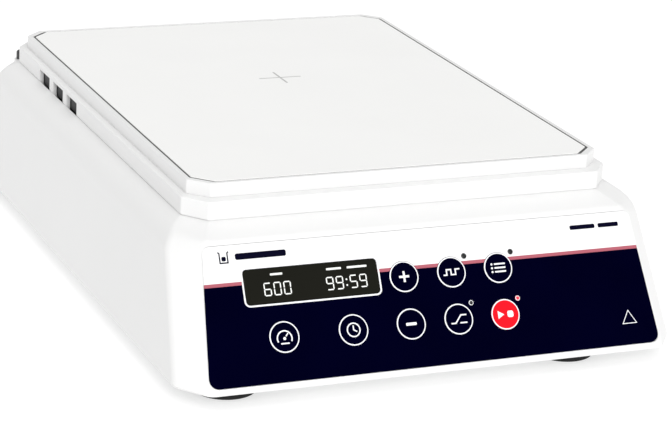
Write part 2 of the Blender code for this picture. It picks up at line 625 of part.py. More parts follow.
drill(housing, prism(rectangle(INLET_WIDTH + 2 * GAP, INLET_HEIGHT + 2 * GAP), -10 * MM, 10 * MM),
      "inlet_cutout", rear_at(INLET_X))
inlet = place(prism(rounded(rectangle(INLET_WIDTH, INLET_HEIGHT), [MM] * 4, 1), -INLET_DEPTH, FLANGE / 2),
              "mains_inlet", BLACK, rear_at(INLET_X))
flange = rounded(rectangle(INLET_WIDTH + 10 * MM, INLET_HEIGHT + 6 * MM), [2 * MM] * 4, 2)
join(inlet, prism(flange, GAP, FLANGE), "inlet_flange", rear_at(INLET_X))
socket_half = SOCKET_WIDTH / 2
socket = [(-socket_half, SOCKET_UP - SOCKET_HEIGHT / 2), (socket_half, SOCKET_UP - SOCKET_HEIGHT / 2),
          (socket_half, SOCKET_UP + SOCKET_HEIGHT / 4),
          (socket_half - SOCKET_HEIGHT / 4, SOCKET_UP + SOCKET_HEIGHT / 2),
          (-socket_half + SOCKET_HEIGHT / 4, SOCKET_UP + SOCKET_HEIGHT / 2),
          (-socket_half, SOCKET_UP + SOCKET_HEIGHT / 4)]
drill(inlet, prism(socket, -SOCKET_DEPTH, 10 * MM), "inlet_socket", rear_at(INLET_X))
pins = [box((px - MM, SOCKET_UP + py - 2 * MM, -SOCKET_DEPTH - MM),
            (px + MM, SOCKET_UP + py + 2 * MM, -3 * MM))
        for px, py in ((-7 * MM, -2 * MM), (0, 2 * MM), (7 * MM, -2 * MM))]
join(inlet, many(pins), "inlet_pins", rear_at(INLET_X))
drill(inlet, prism(rectangle(DRAWER_WIDTH + 2 * GAP, DRAWER_HEIGHT + 2 * GAP, 0, DRAWER_DOWN),
                   -DRAWER_DEPTH - GAP, 10 * MM), "drawer_slot", rear_at(INLET_X))
drawer = place(prism(rectangle(DRAWER_WIDTH, DRAWER_HEIGHT), -DRAWER_DEPTH, FLANGE + 0.5 * MM),
               "fuse_drawer", BLACK, rear_at(INLET_X) @ Matrix.Translation((0, DRAWER_DOWN, 0)))
drill(drawer, box((-DRAWER_WIDTH / 2 + 2 * MM, -DRAWER_HEIGHT / 2 + 2 * MM, -DRAWER_DEPTH + 2 * MM),
                  (DRAWER_WIDTH / 2 - 2 * MM, DRAWER_HEIGHT, -2 * MM)), "fuse_bed",
      rear_at(INLET_X) @ Matrix.Translation((0, DRAWER_DOWN, 0)))

drill(housing, prism(rectangle(SWITCH_WIDTH + 2 * GAP, SWITCH_HEIGHT + 2 * GAP), -10 * MM, 10 * MM),
      "switch_cutout", rear_at(SWITCH_X))
frame = place(prism(rectangle(SWITCH_WIDTH, SWITCH_HEIGHT), -SWITCH_DEPTH, FLANGE / 2), "switch_frame", BLACK,
              rear_at(SWITCH_X))
switch_flange = rounded(rectangle(SWITCH_WIDTH + 5 * MM, SWITCH_HEIGHT + 5 * MM), [1.5 * MM] * 4, 2)
join(frame, prism(switch_flange, GAP, FLANGE - MM / 2), "switch_flange", rear_at(SWITCH_X))
drill(frame, prism(rectangle(ROCKER_WIDTH + 2 * GAP, ROCKER_HEIGHT + 3 * MM), -12 * MM, 10 * MM),
      "rocker_well", rear_at(SWITCH_X))


def rocker_profile():
    """Side view of the rocker: a hollow-backed cap bent about its middle, on its axis."""
    half = ROCKER_HEIGHT / 2
    front = []
    for i in range(9):
        up = half - ROCKER_HEIGHT * i / 8
        front.append((up, ROCKER_PROUD - ROCKER_DISH * (1 - (up / half) ** 2)))
    return front + [(-half + MM, -1.5 * MM), (-3 * MM, -7 * MM), (3 * MM, -7 * MM), (half - MM, -1.5 * MM)]


side_on = Matrix(((0, 0, 1, 0), (1, 0, 0, 0), (0, 1, 0, 0), (0, 0, 0, 1)))
place(prism(rocker_profile()[::-1], -ROCKER_WIDTH / 2, ROCKER_WIDTH / 2), "power_switch", BLACK,
      rear_at(SWITCH_X) @ Matrix.Rotation(ROCKER_SWING, 4, "X") @ side_on)

# ---- Socket for a support rod, on the rear left of the shoulder ---------------
rod_at = Matrix.Translation((ROD_FROM_SIDE - PLINTH_HALF, PLINTH_REAR + ROD_BEHIND, 0))
rod_seat = PLINTH_Z - ROD_SINK - GAP
join(housing, prism(circle(ROD_BOSS, 32), PLINTH_Z - ROD_BOSS_DEPTH, rod_seat), "rod_boss", rod_at)
drill(housing, prism(circle(ROD_RADIUS + GAP, 20), rod_seat, DECK_Z), "rod_counterbore", rod_at)
drill(housing, prism(circle(ROD_RADIUS - MM + GAP, 20), PLINTH_Z - 20 * MM, DECK_Z), "rod_hole", rod_at)
rod_rings = [[(*p, z) for p in circle(r, 20)] for r, z in
             ((ROD_RADIUS - MM, PLINTH_Z - 14 * MM), (ROD_RADIUS - MM, rod_seat + GAP),
              (ROD_RADIUS, rod_seat + GAP), (ROD_RADIUS, PLINTH_Z + ROD_PROUD - MM),
              (ROD_RADIUS - MM, PLINTH_Z + ROD_PROUD))]
place(stack(rod_rings), "rod_socket_plug", BLACK, rod_at, smooth=True)

# ---- Wiring between the boards ----------------------------------------------
def cable(name, points, mat):
    """A round lead through a few points, smoothed by a Catmull-Rom curve."""
    knots = [Vector(points[0])] + [Vector(p) for p in points] + [Vector(points[-1])]
    path = []
    for a, b, c, d in zip(knots, knots[1:], knots[2:], knots[3:]):
        for s in range(6):
            t = s / 6
            path.append(0.5 * (2 * b + (c - a) * t + (2 * a - 5 * b + 4 * c - d) * t * t
                               + (3 * b - a - 3 * c + d) * t ** 3))
    path.append(knots[-1])
    curve = bpy.data.curves.new(name, "CURVE")
    curve.dimensions = "3D"
    curve.bevel_depth = LEAD_RADIUS
    curve.bevel_resolution = 2
    curve.use_fill_caps = True
    spline = curve.splines.new("POLY")
    spline.points.add(len(path) - 1)
    for point, co in zip(spline.points, path):
        point.co = (*co, 1)
    curve.materials.append(mat)
    obj = bpy.data.objects.new(name, curve)
    bpy.context.scene.collection.objects.link(obj)
    return obj


LEAD_Z = FLOOR_Z + BASE_PLATE + LEAD_HEIGHT
inlet_back = REAR_Y - INLET_DEPTH - GAP
psu_rear = PSU_AT[1] + PSU_SIZE[1] / 2
cable("mains_lead", [(INLET_X, inlet_back - MM, REAR_Z), (INLET_X, inlet_back - 16 * MM, REAR_Z),
                     (INLET_X + 8 * MM, psu_rear - 4 * MM, LEAD_Z),
                     (INLET_X + 10 * MM, psu_rear - 9 * MM, board_z + BOARD_THICK + 4 * MM)],
      BLACK)
cable("power_lead", [(PSU_AT[0] + 45 * MM, PSU_AT[1] - 30 * MM, LEAD_Z),
                     (-MOTOR_RADIUS - 16 * MM, DRIVE_Y, LEAD_Z),
                     (-MOTOR_RADIUS, DRIVE_Y - MOTOR_RADIUS - 16 * MM, LEAD_Z),
                     (0, DRIVE_Y - MOTOR_RADIUS - 40 * MM, LEAD_Z),
                     (CONTROL_AT[0] - 60 * MM, CONTROL_AT[1] - 52 * MM, LEAD_Z),
                     (CONTROL_AT[0] - 43 * MM, CONTROL_AT[1] - 50 * MM, LEAD_Z)],
      BLACK)
board_back = PANEL @ Vector((100 * MM, 40 * MM, board_top - BOARD_THICK - 4 * MM))
cable("display_lead", [tuple(board_back), tuple(board_back + Vector((4 * MM, 14 * MM, -6 * MM))),
                       (CONTROL_AT[0], CONTROL_AT[1] - 88 * MM, LEAD_Z),
                       (CONTROL_AT[0], CONTROL_AT[1] - 69 * MM, LEAD_Z - 6 * MM)],
      FOAM)

# ---- Housing screws, up through the base plate's corners --------------------
boss_x = wall_half(FLOOR_Z + BOSS_HEIGHT) - WALL - BOSS_SIZE / 2
boss_low = FLOOR_Z + BASE_PLATE + GAP
boss_points = [(sx * boss_x, sy * BOSS_FROM_MIDDLE) for sx in (-1, 1) for sy in (-1, 1)]
bosses = []
for x, y in boss_points:
    outer = x + math.copysign(BOSS_SIZE / 2 + 1.5 * MM, x)
    inner = x - math.copysign(BOSS_SIZE / 2, x)
    bosses.append(box((min(outer, inner), y - BOSS_SIZE / 2, boss_low),
                      (max(outer, inner), y + BOSS_SIZE / 2, boss_low + BOSS_HEIGHT)))
join(housing, many(bosses), "screw_bosses")
for i, (x, y) in enumerate(boss_points, 1):
    hole = prism(circle(SCREW_RADIUS + GAP, 16, x, y), FLOOR_Z - MM, FLOOR_Z + SCREW_LENGTH + MM)
    drill(base_plate, hole, f"housing_screw_hole_{i}")
    drill(housing, hole, f"boss_hole_{i}")
    low = FLOOR_Z - GAP
    screw = [[(*p, z) for p in circle(r, 16, x, y)] for r, z in
             ((2.8 * MM, low - 1.8 * MM), (3.6 * MM, low - MM), (3.6 * MM, low), (SCREW_RADIUS, low),
              (SCREW_RADIUS, low + SCREW_LENGTH))]
    place(stack(screw), f"housing_screw_{i}", STEEL, smooth=True)
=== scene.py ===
"""Large-volume magnetic stirrer: the finished surfaces over its plain model.

Metres, +Z up, +Y to the rear, in the plain model's frame.
"""
import json
import math

import bmesh
import bpy
import numpy as np
from mathutils import Matrix, Vector


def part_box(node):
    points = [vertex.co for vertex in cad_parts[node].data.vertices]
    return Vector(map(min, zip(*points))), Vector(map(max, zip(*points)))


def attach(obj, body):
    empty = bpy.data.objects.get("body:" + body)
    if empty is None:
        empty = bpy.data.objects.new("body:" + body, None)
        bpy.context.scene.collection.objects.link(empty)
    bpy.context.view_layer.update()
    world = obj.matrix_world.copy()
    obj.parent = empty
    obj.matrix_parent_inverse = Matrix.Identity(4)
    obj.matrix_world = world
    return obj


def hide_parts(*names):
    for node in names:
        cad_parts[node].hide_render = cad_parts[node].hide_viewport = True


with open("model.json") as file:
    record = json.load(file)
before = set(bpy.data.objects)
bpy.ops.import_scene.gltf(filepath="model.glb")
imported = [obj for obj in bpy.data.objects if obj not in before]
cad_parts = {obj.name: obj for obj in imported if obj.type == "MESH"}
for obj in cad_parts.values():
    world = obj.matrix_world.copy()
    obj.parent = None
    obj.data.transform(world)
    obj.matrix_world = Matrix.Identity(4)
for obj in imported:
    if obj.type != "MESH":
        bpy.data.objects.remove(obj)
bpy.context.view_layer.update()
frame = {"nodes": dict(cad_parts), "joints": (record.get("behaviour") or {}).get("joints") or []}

# ---- Housing -------------------------------------------------------------------
# One injection-moulded shell of white plastic with a satin grain. It is open underneath
# and carries everything else: the sloping front takes the keypad, the raised plinth the tray.
MM = 0.001
GAP = 0.3 * MM                      # clearance between pieces that meet
CLEAR = 10 * MM                     # how far a cutting tool stands past a face
WALL = 3 * MM
DECK = 2 * MM                       # top skin
SIDE_LEAN = 8.6 * MM                # how far a side wall leans in, up to the ridge
PLINTH_HEIGHT = 12.8 * MM
RIDGE_DROP = 6.5 * MM               # ridge of the shoulder, below the plinth's foot
BASE_EDGE = 2 * MM                  # rounding of the lower edge
RIDGE_BEND = {"side": 12 * MM, "front": 3.5 * MM, "rear": 6 * MM}
CUT_CORNER = (16.7 * MM, 22 * MM)   # flats across the housing's corners
PLINTH_CUT = (13.4 * MM, 16.4 * MM)
SEAM = 0.7 * MM                     # shadow line round the plinth's foot
CORNER_SOFT = (4 * MM, 1 * MM)      # rounding of the flats' edges, housing and plinth
PLINTH_OUTSIDE_TRAY = (5.1 * MM, 9 * MM)
OVERLAY_THICK = 1 * MM
OVERLAY_HEIGHT = 91.5 * MM
OVERLAY_MARGIN = 0.6 * MM
OVERLAY_CORNERS = (7 * MM, 7 * MM, 4.7 * MM, 4.7 * MM)
DECK_EDGE = 0.9 * MM                # rounding of the deck's edge
PROFILE_STEPS = 8

shell_low, shell_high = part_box("housing_shell")
tray_low, tray_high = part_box("tray_frame")
press = Vector(next(j for j in frame["joints"] if j["name"] == "start_press")["axis"])
panel_lean = math.asin(-press.z)
floor_z, deck_z = shell_low.z, shell_high.z
foot_z = deck_z - PLINTH_HEIGHT
ridge_z = foot_z - RIDGE_DROP
side_slope = SIDE_LEAN / (ridge_z - floor_z)
base_half = shell_high.x + side_slope * BASE_EDGE
base_front = shell_low.y - math.tan(panel_lean) * BASE_EDGE
rear_y = shell_high.y
ridge_half = base_half - SIDE_LEAN
ridge_front = base_front + (ridge_z - floor_z) * math.tan(panel_lean)
plinth_half = tray_high.x + PLINTH_OUTSIDE_TRAY[0]
plinth_front = tray_low.y - PLINTH_OUTSIDE_TRAY[1]
plinth_rear = tray_high.y + PLINTH_OUTSIDE_TRAY[1]


def soften(corners, reaches, steps=4, closed=False):
    """Rounds the line through the corners: each turn is an arc that starts and ends its reach away."""
    corners = [Vector(c) for c in corners]
    last = len(corners) - 1
    line = []
    for i, (here, reach) in enumerate(zip(corners, reaches)):
        if not reach or (not closed and i in (0, last)):
            line.append(here)
            continue
        before = (corners[i - 1] - here).normalized()
        after = (corners[(i + 1) % len(corners)] - here).normalized()
        pull = math.sin(before.angle(after) / 2)
        for s in range(steps + 1):
            t = s / steps
            weights = (1 - t) ** 2, 2 * pull * t * (1 - t), t * t
            bend = (here + before * reach) * weights[0] + here * weights[1]
            bend += (here + after * reach) * weights[2]
            line.append(bend / sum(weights))
    return line


def cut_rectangle(half, front, rear, cut, inset=0.0):
    """The eight corners of a rectangle with flats across its corners."""
    half, front, rear = half - inset, front + inset, rear - inset
    return [(-half + cut[0], front), (half - cut[0], front), (half, front + cut[1]), (half, rear - cut[1]),
            (half - cut[0], rear), (-half + cut[0], rear), (-half, rear - cut[1]), (-half, front + cut[1])]


def loft(bm, rings, caps=True):
    """Skins a row of rings that have the same number of points."""
    loops = [[bm.verts.new(p) for p in ring] for ring in rings]
    count = len(loops[0])
    for low, high in zip(loops, loops[1:] if caps else loops[1:] + loops[:1]):
        for i in range(count):
            j = (i + 1) % count
            bm.faces.new((low[i], low[j], high[j], high[i]))
    if caps:
        bm.faces.new(loops[0][::-1])
        bm.faces.new(loops[-1])


def prism(bm, outline, low, high):
    """A straight solid on a flat outline."""
    loft(bm, [[(p[0], p[1], z) for p in outline] for z in (low, high)])


def circle(radius, count=48, at=(0.0, 0.0)):
    turn = 2 * math.pi / count
    return [(at[0] + radius * math.cos(i * turn), at[1] + radius * math.sin(i * turn)) for i in range(count)]


def rectangle(width, height, at=(0.0, 0.0)):
    w, h = width / 2, height / 2
    return [(at[0] - w, at[1] - h), (at[0] + w, at[1] - h), (at[0] + w, at[1] + h), (at[0] - w, at[1] + h)]


def shade(obj, sharp=32):
    """Smooth over the rounded edges, crisp at the rest."""
    obj.data.shade_smooth()
    obj.data.set_sharp_from_angle(angle=math.radians(sharp))
    if "even_shading" not in obj.modifiers:
        even = obj.modifiers.new("even_shading", "WEIGHTED_NORMAL")
        even.keep_sharp = True


def piece(name, bm, finish, body="housing", stands_for=(), place=None):
    """Turns a finished bmesh into a piece that rides on its body."""
    bmesh.ops.recalc_face_normals(bm, faces=bm.faces)
    mesh = bpy.data.meshes.new(name)
    bm.to_mesh(mesh)
    bm.free()
    for one in finish if isinstance(finish, (list, tuple)) else [finish]:
        mesh.materials.append(one)
    obj = bpy.data.objects.new(name, mesh)
    bpy.context.scene.collection.objects.link(obj)
    if place is not None:
        obj.matrix_world = place
    shade(obj)
    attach(obj, body)
    if stands_for:
        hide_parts(*stands_for)
    return obj


def shape(obj, make, place=None, operation="DIFFERENCE"):
    """Cuts a solid away from a piece, or joins one to it, and keeps the result as its mesh."""
    bm = bmesh.new()
    make(bm)
    bmesh.ops.recalc_face_normals(bm, faces=bm.faces)
    mesh = bpy.data.meshes.new("tool")
    bm.to_mesh(mesh)
    bm.free()
    tool = bpy.data.objects.new("tool", mesh)
    bpy.context.scene.collection.objects.link(tool)
    if place is not None:
        tool.matrix_world = place
    obj.modifiers.clear()
    mod = obj.modifiers.new("shape", "BOOLEAN")
    mod.operation = operation
    mod.solver = "EXACT"
    mod.object = tool
    bpy.context.view_layer.update()
    made = bpy.data.meshes.new_from_object(obj.evaluated_get(bpy.context.evaluated_depsgraph_get()))
    obj.modifiers.clear()
    old, obj.data = obj.data, made
    made.name = old.name
    bpy.data.meshes.remove(old)
    bpy.data.objects.remove(tool)
    bpy.data.meshes.remove(mesh)
    shade(obj)


BLOTCHES = 14                       # slow colour drifts to the metre
MID_NOISE = (0.3, 0.7)              # where most of a noise's values lie
SHEEN_SPREAD = 0.05
BUMP_STRENGTH = 0.6


def textured(name, colour, roughness, grain, relief, drift=0.03, metallic=0.0, specular=0.5,
             stretch=(1, 1, 1), coat=0.0):
    """A finish with a fine grain in its relief and sheen, and a slow drift in its colour."""
    mat = bpy.data.materials.new(name)
    mat.use_nodes = True
    nodes, link = mat.node_tree.nodes, mat.node_tree.links.new
    shader = nodes["Principled BSDF"]
    shader.inputs["Metallic"].default_value = metallic
    shader.inputs["Specular IOR Level"].default_value = specular
    shader.inputs["Coat Weight"].default_value = coat
    where = nodes.new("ShaderNodeTexCoord")
    lay = nodes.new("ShaderNodeMapping")
    lay.inputs["Scale"].default_value = stretch
    link(where.outputs["Object"], lay.inputs["Vector"])
    fine = nodes.new("ShaderNodeTexNoise")
    fine.inputs["Scale"].default_value = 1 / grain
    fine.inputs["Detail"].default_value = 3
    broad = nodes.new("ShaderNodeTexNoise")
    broad.inputs["Scale"].default_value = BLOTCHES
    broad.inputs["Detail"].default_value = 4
    for noise in (fine, broad):
        link(lay.outputs["Vector"], noise.inputs["Vector"])
    tone = nodes.new("ShaderNodeValToRGB")
    for stop, at, shown in zip(tone.color_ramp.elements, MID_NOISE, (1 - drift, 1)):
        stop.position = at
        stop.color = (*(c * shown for c in colour), 1)
    link(broad.outputs["Fac"], tone.inputs["Fac"])
    link(tone.outputs["Color"], shader.inputs["Base Color"])
    sheen = nodes.new("ShaderNodeMapRange")
    for end, value, way in zip(("Min", "Max"), MID_NOISE, (-1, 1)):
        sheen.inputs["From " + end].default_value = value
        sheen.inputs["To " + end].default_value = roughness + way * SHEEN_SPREAD
    link(fine.outputs["Fac"], sheen.inputs["Value"])
    link(sheen.outputs["Result"], shader.inputs["Roughness"])
    bump = nodes.new("ShaderNodeBump")
    bump.inputs["Strength"].default_value = BUMP_STRENGTH
    bump.inputs["Distance"].default_value = relief
    link(fine.outputs["Fac"], bump.inputs["Height"])
    link(bump.outputs["Normal"], shader.inputs["Normal"])
    return mat


def profile(base, ridge, foot, into, bend):
    """One wall's section from the lower rim, over the ridge and the plinth's foot, to the deck."""
    seam = foot + into * SEAM
    corners = [(base + into * WALL, 0, floor_z), (base, 0, floor_z), (ridge, 0, ridge_z), (foot, 0, foot_z),
               (seam, 0, foot_z), (seam, 0, foot_z + SEAM), (foot, 0, foot_z + SEAM), (foot, 0, deck_z),
               (foot + into * 4 * MM, 0, deck_z)]
    reaches = (0, BASE_EDGE, bend, 0, 0, 0, 0, DECK_EDGE, 0)
    return [(p.x, p.z) for p in soften(corners, reaches, PROFILE_STEPS)]


side_line = profile(base_half, ridge_half, plinth_half, -1, RIDGE_BEND["side"])
front_line = profile(base_front, ridge_front, plinth_front, 1, RIDGE_BEND["front"])
rear_line = profile(rear_y, rear_y, plinth_rear, -1, RIDGE_BEND["rear"])
wall_from, wall_to = 1 + PROFILE_STEPS, 3 + 2 * PROFILE_STEPS


def at_height(line, i, z):
    """Where a wall's section stands at a height, for the ring with this number."""
    if not wall_from <= i <= wall_to:
        return line[i][0]
    wall = line[wall_from:wall_to + 1]
    return float(np.interp(z, [p[1] for p in wall], [p[0] for p in wall]))


def housing_ring(i):
    (half, side_z), (front, front_z), (rear, rear_z) = side_line[i], front_line[i], rear_line[i]

    def fade(z, pair):
        return float(np.interp(z, (ridge_z, foot_z), pair))

    cut_x, cut_y = zip(CUT_CORNER, PLINTH_CUT)
    front_x = at_height(side_line, i, front_z) - fade(front_z, cut_x)
    rear_x = at_height(side_line, i, rear_z) - fade(rear_z, cut_x)
    front_side = at_height(front_line, i, side_z) + fade(side_z, cut_y)
    rear_side = at_height(rear_line, i, side_z) - fade(side_z, cut_y)
    corners = [(-front_x, front, front_z), (front_x, front, front_z), (half, front_side, side_z),
               (half, rear_side, side_z), (rear_x, rear, rear_z), (-rear_x, rear, rear_z),
               (-half, rear_side, side_z), (-half, front_side, side_z)]
    return soften(corners, [fade(side_z, CORNER_SOFT)] * 8, closed=True)


def inner_ring(half, front, rear, cut, z):
    outline = [(x, y, z) for x, y in cut_rectangle(half, front, rear, cut)]
    return soften(outline, [MM] * 8, closed=True)


slant_wall = WALL / math.cos(panel_lean)
inside = [inner_ring(plinth_half - WALL, plinth_front + WALL, plinth_rear - WALL, PLINTH_CUT, deck_z - DECK),
          inner_ring(plinth_half - WALL, plinth_front + WALL, plinth_rear - WALL, PLINTH_CUT, foot_z - WALL),
          inner_ring(ridge_half - WALL, ridge_front + slant_wall, rear_y - WALL, CUT_CORNER, ridge_z - WALL)]
bm = bmesh.new()
loft(bm, inside + [housing_ring(i) for i in range(len(side_line))])
white_moulding = textured("white_moulding", (0.815, 0.815, 0.812), 0.42, 0.5 * MM, 0.006 * MM, drift=0.012)
housing = piece("housing", bm, white_moulding, stands_for=["housing_shell"])

# The keypad's own frame: x to the right, y up the slope, z out of it.
overlay_box_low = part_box("control_overlay")[0]
panel_at = Vector((0, overlay_box_low.y, overlay_box_low.z + OVERLAY_THICK * math.sin(panel_lean)))
PANEL = Matrix.Translation(panel_at) @ Matrix.Rotation(math.pi / 2 - panel_lean, 4, "X")


def on_panel(node):
    """A round or square keypad piece's middle, in the keypad's frame."""
    low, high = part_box(node)
    spot = PANEL.inverted() @ ((low + high) / 2)
    return spot.x, spot.y


def overlay_outline(grow=0.0):
    """The keypad's edge, which follows the lean of the side walls."""
    ends = []
    for t in (0, OVERLAY_HEIGHT):
        wall = base_half - side_slope * (panel_at.z + t * math.cos(panel_lean) - floor_z)
        ends.append(wall - CUT_CORNER[0] - OVERLAY_MARGIN + grow)
    corners = [(-ends[0], -grow, 0), (ends[0], -grow, 0), (ends[1], OVERLAY_HEIGHT + grow, 0),
               (-ends[1], OVERLAY_HEIGHT + grow, 0)]
    return soften(corners, OVERLAY_CORNERS, 8, closed=True)


KEY_NODES = ["key_plus", "key_pulse", "key_program", "key_minus", "key_ramp", "key_start", "key_time",
             "key_speed"]
LAMP_NODES = ["lamp_pulse", "lamp_program", "lamp_ramp", "lamp_start"]
key_low, key_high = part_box("key_start")
KEY_RADIUS = (key_high.x - key_low.x) / 2
lamp_box_low, lamp_box_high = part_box("lamp_start")
LAMP_RADIUS = (lamp_box_high.x - lamp_box_low.x) / 2
window_low, window_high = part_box("display_window")
WINDOW_WIDTH = window_high.x - window_low.x
WINDOW_HEIGHT = 23 * MM
WINDOW_CORNER = 2.5 * MM
window_at = on_panel("display_window")
round_holes = [(KEY_RADIUS, on_panel(node)) for node in KEY_NODES]
round_holes += [(LAMP_RADIUS, on_panel(node)) for node in LAMP_NODES]


def window_outline(grow=0.0):
    outline = rectangle(WINDOW_WIDTH + 2 * grow, WINDOW_HEIGHT + 2 * grow, window_at)
    return soften([(*p, 0) for p in outline], [WINDOW_CORNER + grow] * 4, 6, closed=True)


def panel_openings(bm, low, high):
    """The keys', lamps' and window's openings, through a sheet of the keypad."""
    for radius, at in round_holes:
        prism(bm, circle(radius + GAP, 64 if radius > 5 * MM else 24, at), low, high)
    prism(bm, window_outline(GAP), low, high)


shape(housing, lambda bm: prism(bm, overlay_outline(GAP), -OVERLAY_THICK - GAP, CLEAR), PANEL)
shape(housing, lambda bm: panel_openings(bm, -2 * CLEAR, CLEAR), PANEL)

# Three cooling slots through each side of the plinth, near its rear.
VENTS = 3
VENT_SIZE = (25.4 * MM, 9.7 * MM)
VENT_CORNER = 0.5 * MM
VENT_PITCH = 34.2 * MM
VENT_FIRST = 51.5 * MM              # first slot behind the plate's middle
VENT_SILL = 0.05 * MM
VENT_SKIN = 0.4 * MM                # what is left of the sill, seen from outside
VENT_DROP = 6 * MM
plate_y = (tray_low.y + tray_high.y) / 2
vent_z = foot_z + VENT_SILL + VENT_SIZE[1] / 2
SIDEWAYS = Matrix(((0, 0, 1, 0), (1, 0, 0, 0), (0, 1, 0, 0), (0, 0, 0, 1)))


def vent_slots(bm):
    for side in (-1, 1):
        near, far = sorted((side * (plinth_half - 2 * WALL), side * (plinth_half + WALL)))
        for i in range(VENTS):
            middle = (plate_y + VENT_FIRST + i * VENT_PITCH, vent_z)
            outline = [(*p, 0) for p in rectangle(*VENT_SIZE, middle)]
            prism(bm, soften(outline, [VENT_CORNER] * 4, 3, closed=True), near, far)


def vent_undercuts(bm):
    for side in (-1, 1):
        near, far = sorted((side * (plinth_half - 2 * WALL), side * (plinth_half - VENT_SKIN)))
        for i in range(VENTS):
            middle = (plate_y + VENT_FIRST + i * VENT_PITCH, vent_z - VENT_DROP)
            prism(bm, rectangle(*VENT_SIZE, middle), near, far)


shape(housing, vent_slots, SIDEWAYS)
shape(housing, vent_undercuts, SIDEWAYS)

# A strip of grey filter foam stands behind each row of slots.
FILTER_BACK = 0.8 * MM              # foam's face behind the wall's inner face
FILTER_THICK = 4 * MM
FILTER_HEIGHT = 12 * MM
FILTER_OVERLAP = 4 * MM             # foam past the slots at each end
FILTER_DROP = 0.6 * MM
foam = textured("grey_foam", (0.12, 0.12, 0.123), 0.9, 0.6 * MM, 0.25 * MM, drift=0.45, specular=0.2)
for side, name in ((-1, "left"), (1, "right")):
    face = plinth_half - WALL - FILTER_BACK
    near, far = sorted((side * (face - FILTER_THICK), side * face))
    middle = (plate_y + VENT_FIRST + VENT_PITCH, vent_z - FILTER_DROP)
    length = (VENTS - 1) * VENT_PITCH + VENT_SIZE[0] + 2 * FILTER_OVERLAP
    bm = bmesh.new()
    outline = [(*p, 0) for p in rectangle(length, FILTER_HEIGHT, middle)]
    prism(bm, soften(outline, [MM] * 4, 3, closed=True), near, far)
    piece(f"vent_filter_{name}", bm, foam, place=SIDEWAYS)

# Openings for the rear fittings and the rod socket, and bosses for the base plate's screws.
INLET_BODY = (30 * MM, 38 * MM)
SWITCH_BODY = (21 * MM, 29 * MM)
ROD_STEM = 3 * MM
ROD_HEAD = 4 * MM
ROD_SINK = 3.3 * MM                 # seat of the plug below the plinth's foot
ROD_BOSS = (5.5 * MM, 12 * MM)
ROD_BORE = 20 * MM
SCREW_RADIUS = 2 * MM
BOSS = 12 * MM
BOSS_HEIGHT = 15 * MM
BOSS_TOP_SKIN = 2 * MM


def middle_of(node):
    low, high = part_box(node)
    return (low + high) / 2


def rear_frame(node):
    """A rear fitting's frame: z out of the rear wall, y up."""
    middle = middle_of(node)
    turn = Matrix(((-1, 0, 0, 0), (0, 0, 1, 0), (0, 1, 0, 0), (0, 0, 0, 1)))
    return Matrix.Translation((middle.x, rear_y, middle.z)) @ turn


for node, size in (("mains_inlet", INLET_BODY), ("switch_frame", SWITCH_BODY)):
    opening = rectangle(size[0] + 2 * GAP, size[1] + 2 * GAP)
    shape(housing, lambda bm: prism(bm, opening, -CLEAR, CLEAR), rear_frame(node))
rod_at = middle_of("rod_socket_plug")
rod_seat = foot_z - ROD_SINK
shape(housing, lambda bm: prism(bm, circle(ROD_BOSS[0], 40, rod_at.xy), foot_z - ROD_BOSS[1], rod_seat),
      operation="UNION")
shape(housing, lambda bm: prism(bm, circle(ROD_HEAD + GAP, 32, rod_at.xy), rod_seat, deck_z))
shape(housing, lambda bm: prism(bm, circle(ROD_STEM + GAP, 32, rod_at.xy), foot_z - ROD_BORE, deck_z))
screw_points = [middle_of(f"housing_screw_{i}") for i in range(1, 5)]
plate_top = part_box("base_plate")[1].z


def bosses(bm):
    for p in screw_points:
        outward = math.copysign(BOSS / 8, p.x)
        outline = rectangle(BOSS * 1.2, BOSS, (p.x + outward, p.y))
        prism(bm, outline, plate_top + GAP, plate_top + BOSS_HEIGHT)


def boss_bores(bm):
    for p in screw_points:
        prism(bm, circle(SCREW_RADIUS + GAP, 24, p.xy), plate_top, plate_top + BOSS_HEIGHT - BOSS_TOP_SKIN)


shape(housing, bosses, operation="UNION")
shape(housing, boss_bores)

# ---- Base plate ------------------------------------------------------------------
# A flat panel of zinc-plated sheet steel that closes the housing from below. Four
# screws hold it to the housing's bosses, and the feet are screwed to it.
zinc = textured("zinc_plating", (0.60, 0.61, 0.60), 0.34, 1.6 * MM, 0.004 * MM, drift=0.12, metallic=1.0)


def dress(node, finish):
    """Keeps a piece's plain shape and gives it its real finish."""
    mesh = frame["nodes"][node].data
    mesh.materials.clear()
    mesh.materials.append(finish)


dress("base_plate", zinc)

# ---- Feet ------------------------------------------------------------------------
# Black moulded rubber, each with a rounded tread edge, a grip groove round its side and
# a well underneath for the head of the screw that holds it.
FOOT_WELL = (5 * MM, 4 * MM)
TREAD_ROUND = 1.5 * MM
GRIP_DEPTH = 0.7 * MM
GRIP_HEIGHTS = (0.60, 0.66, 0.74, 0.80)      # share of the foot's height
FOOT_EDGE = 0.3 * MM


def lathe(bm, outline, at=(0.0, 0.0), count=48):
    """Turns a closed section of (radius, height) points about an upright axis."""
    loft(bm, [[(p[0], p[1], z) for p in circle(r, count, at)] for r, z in outline], caps=False)


def turned(bm, outline, at=(0.0, 0.0), count=48):
    """Turns an open section that starts and ends on flat faces."""
    loft(bm, [[(p[0], p[1], z) for p in circle(r, count, at)] for r, z in outline])


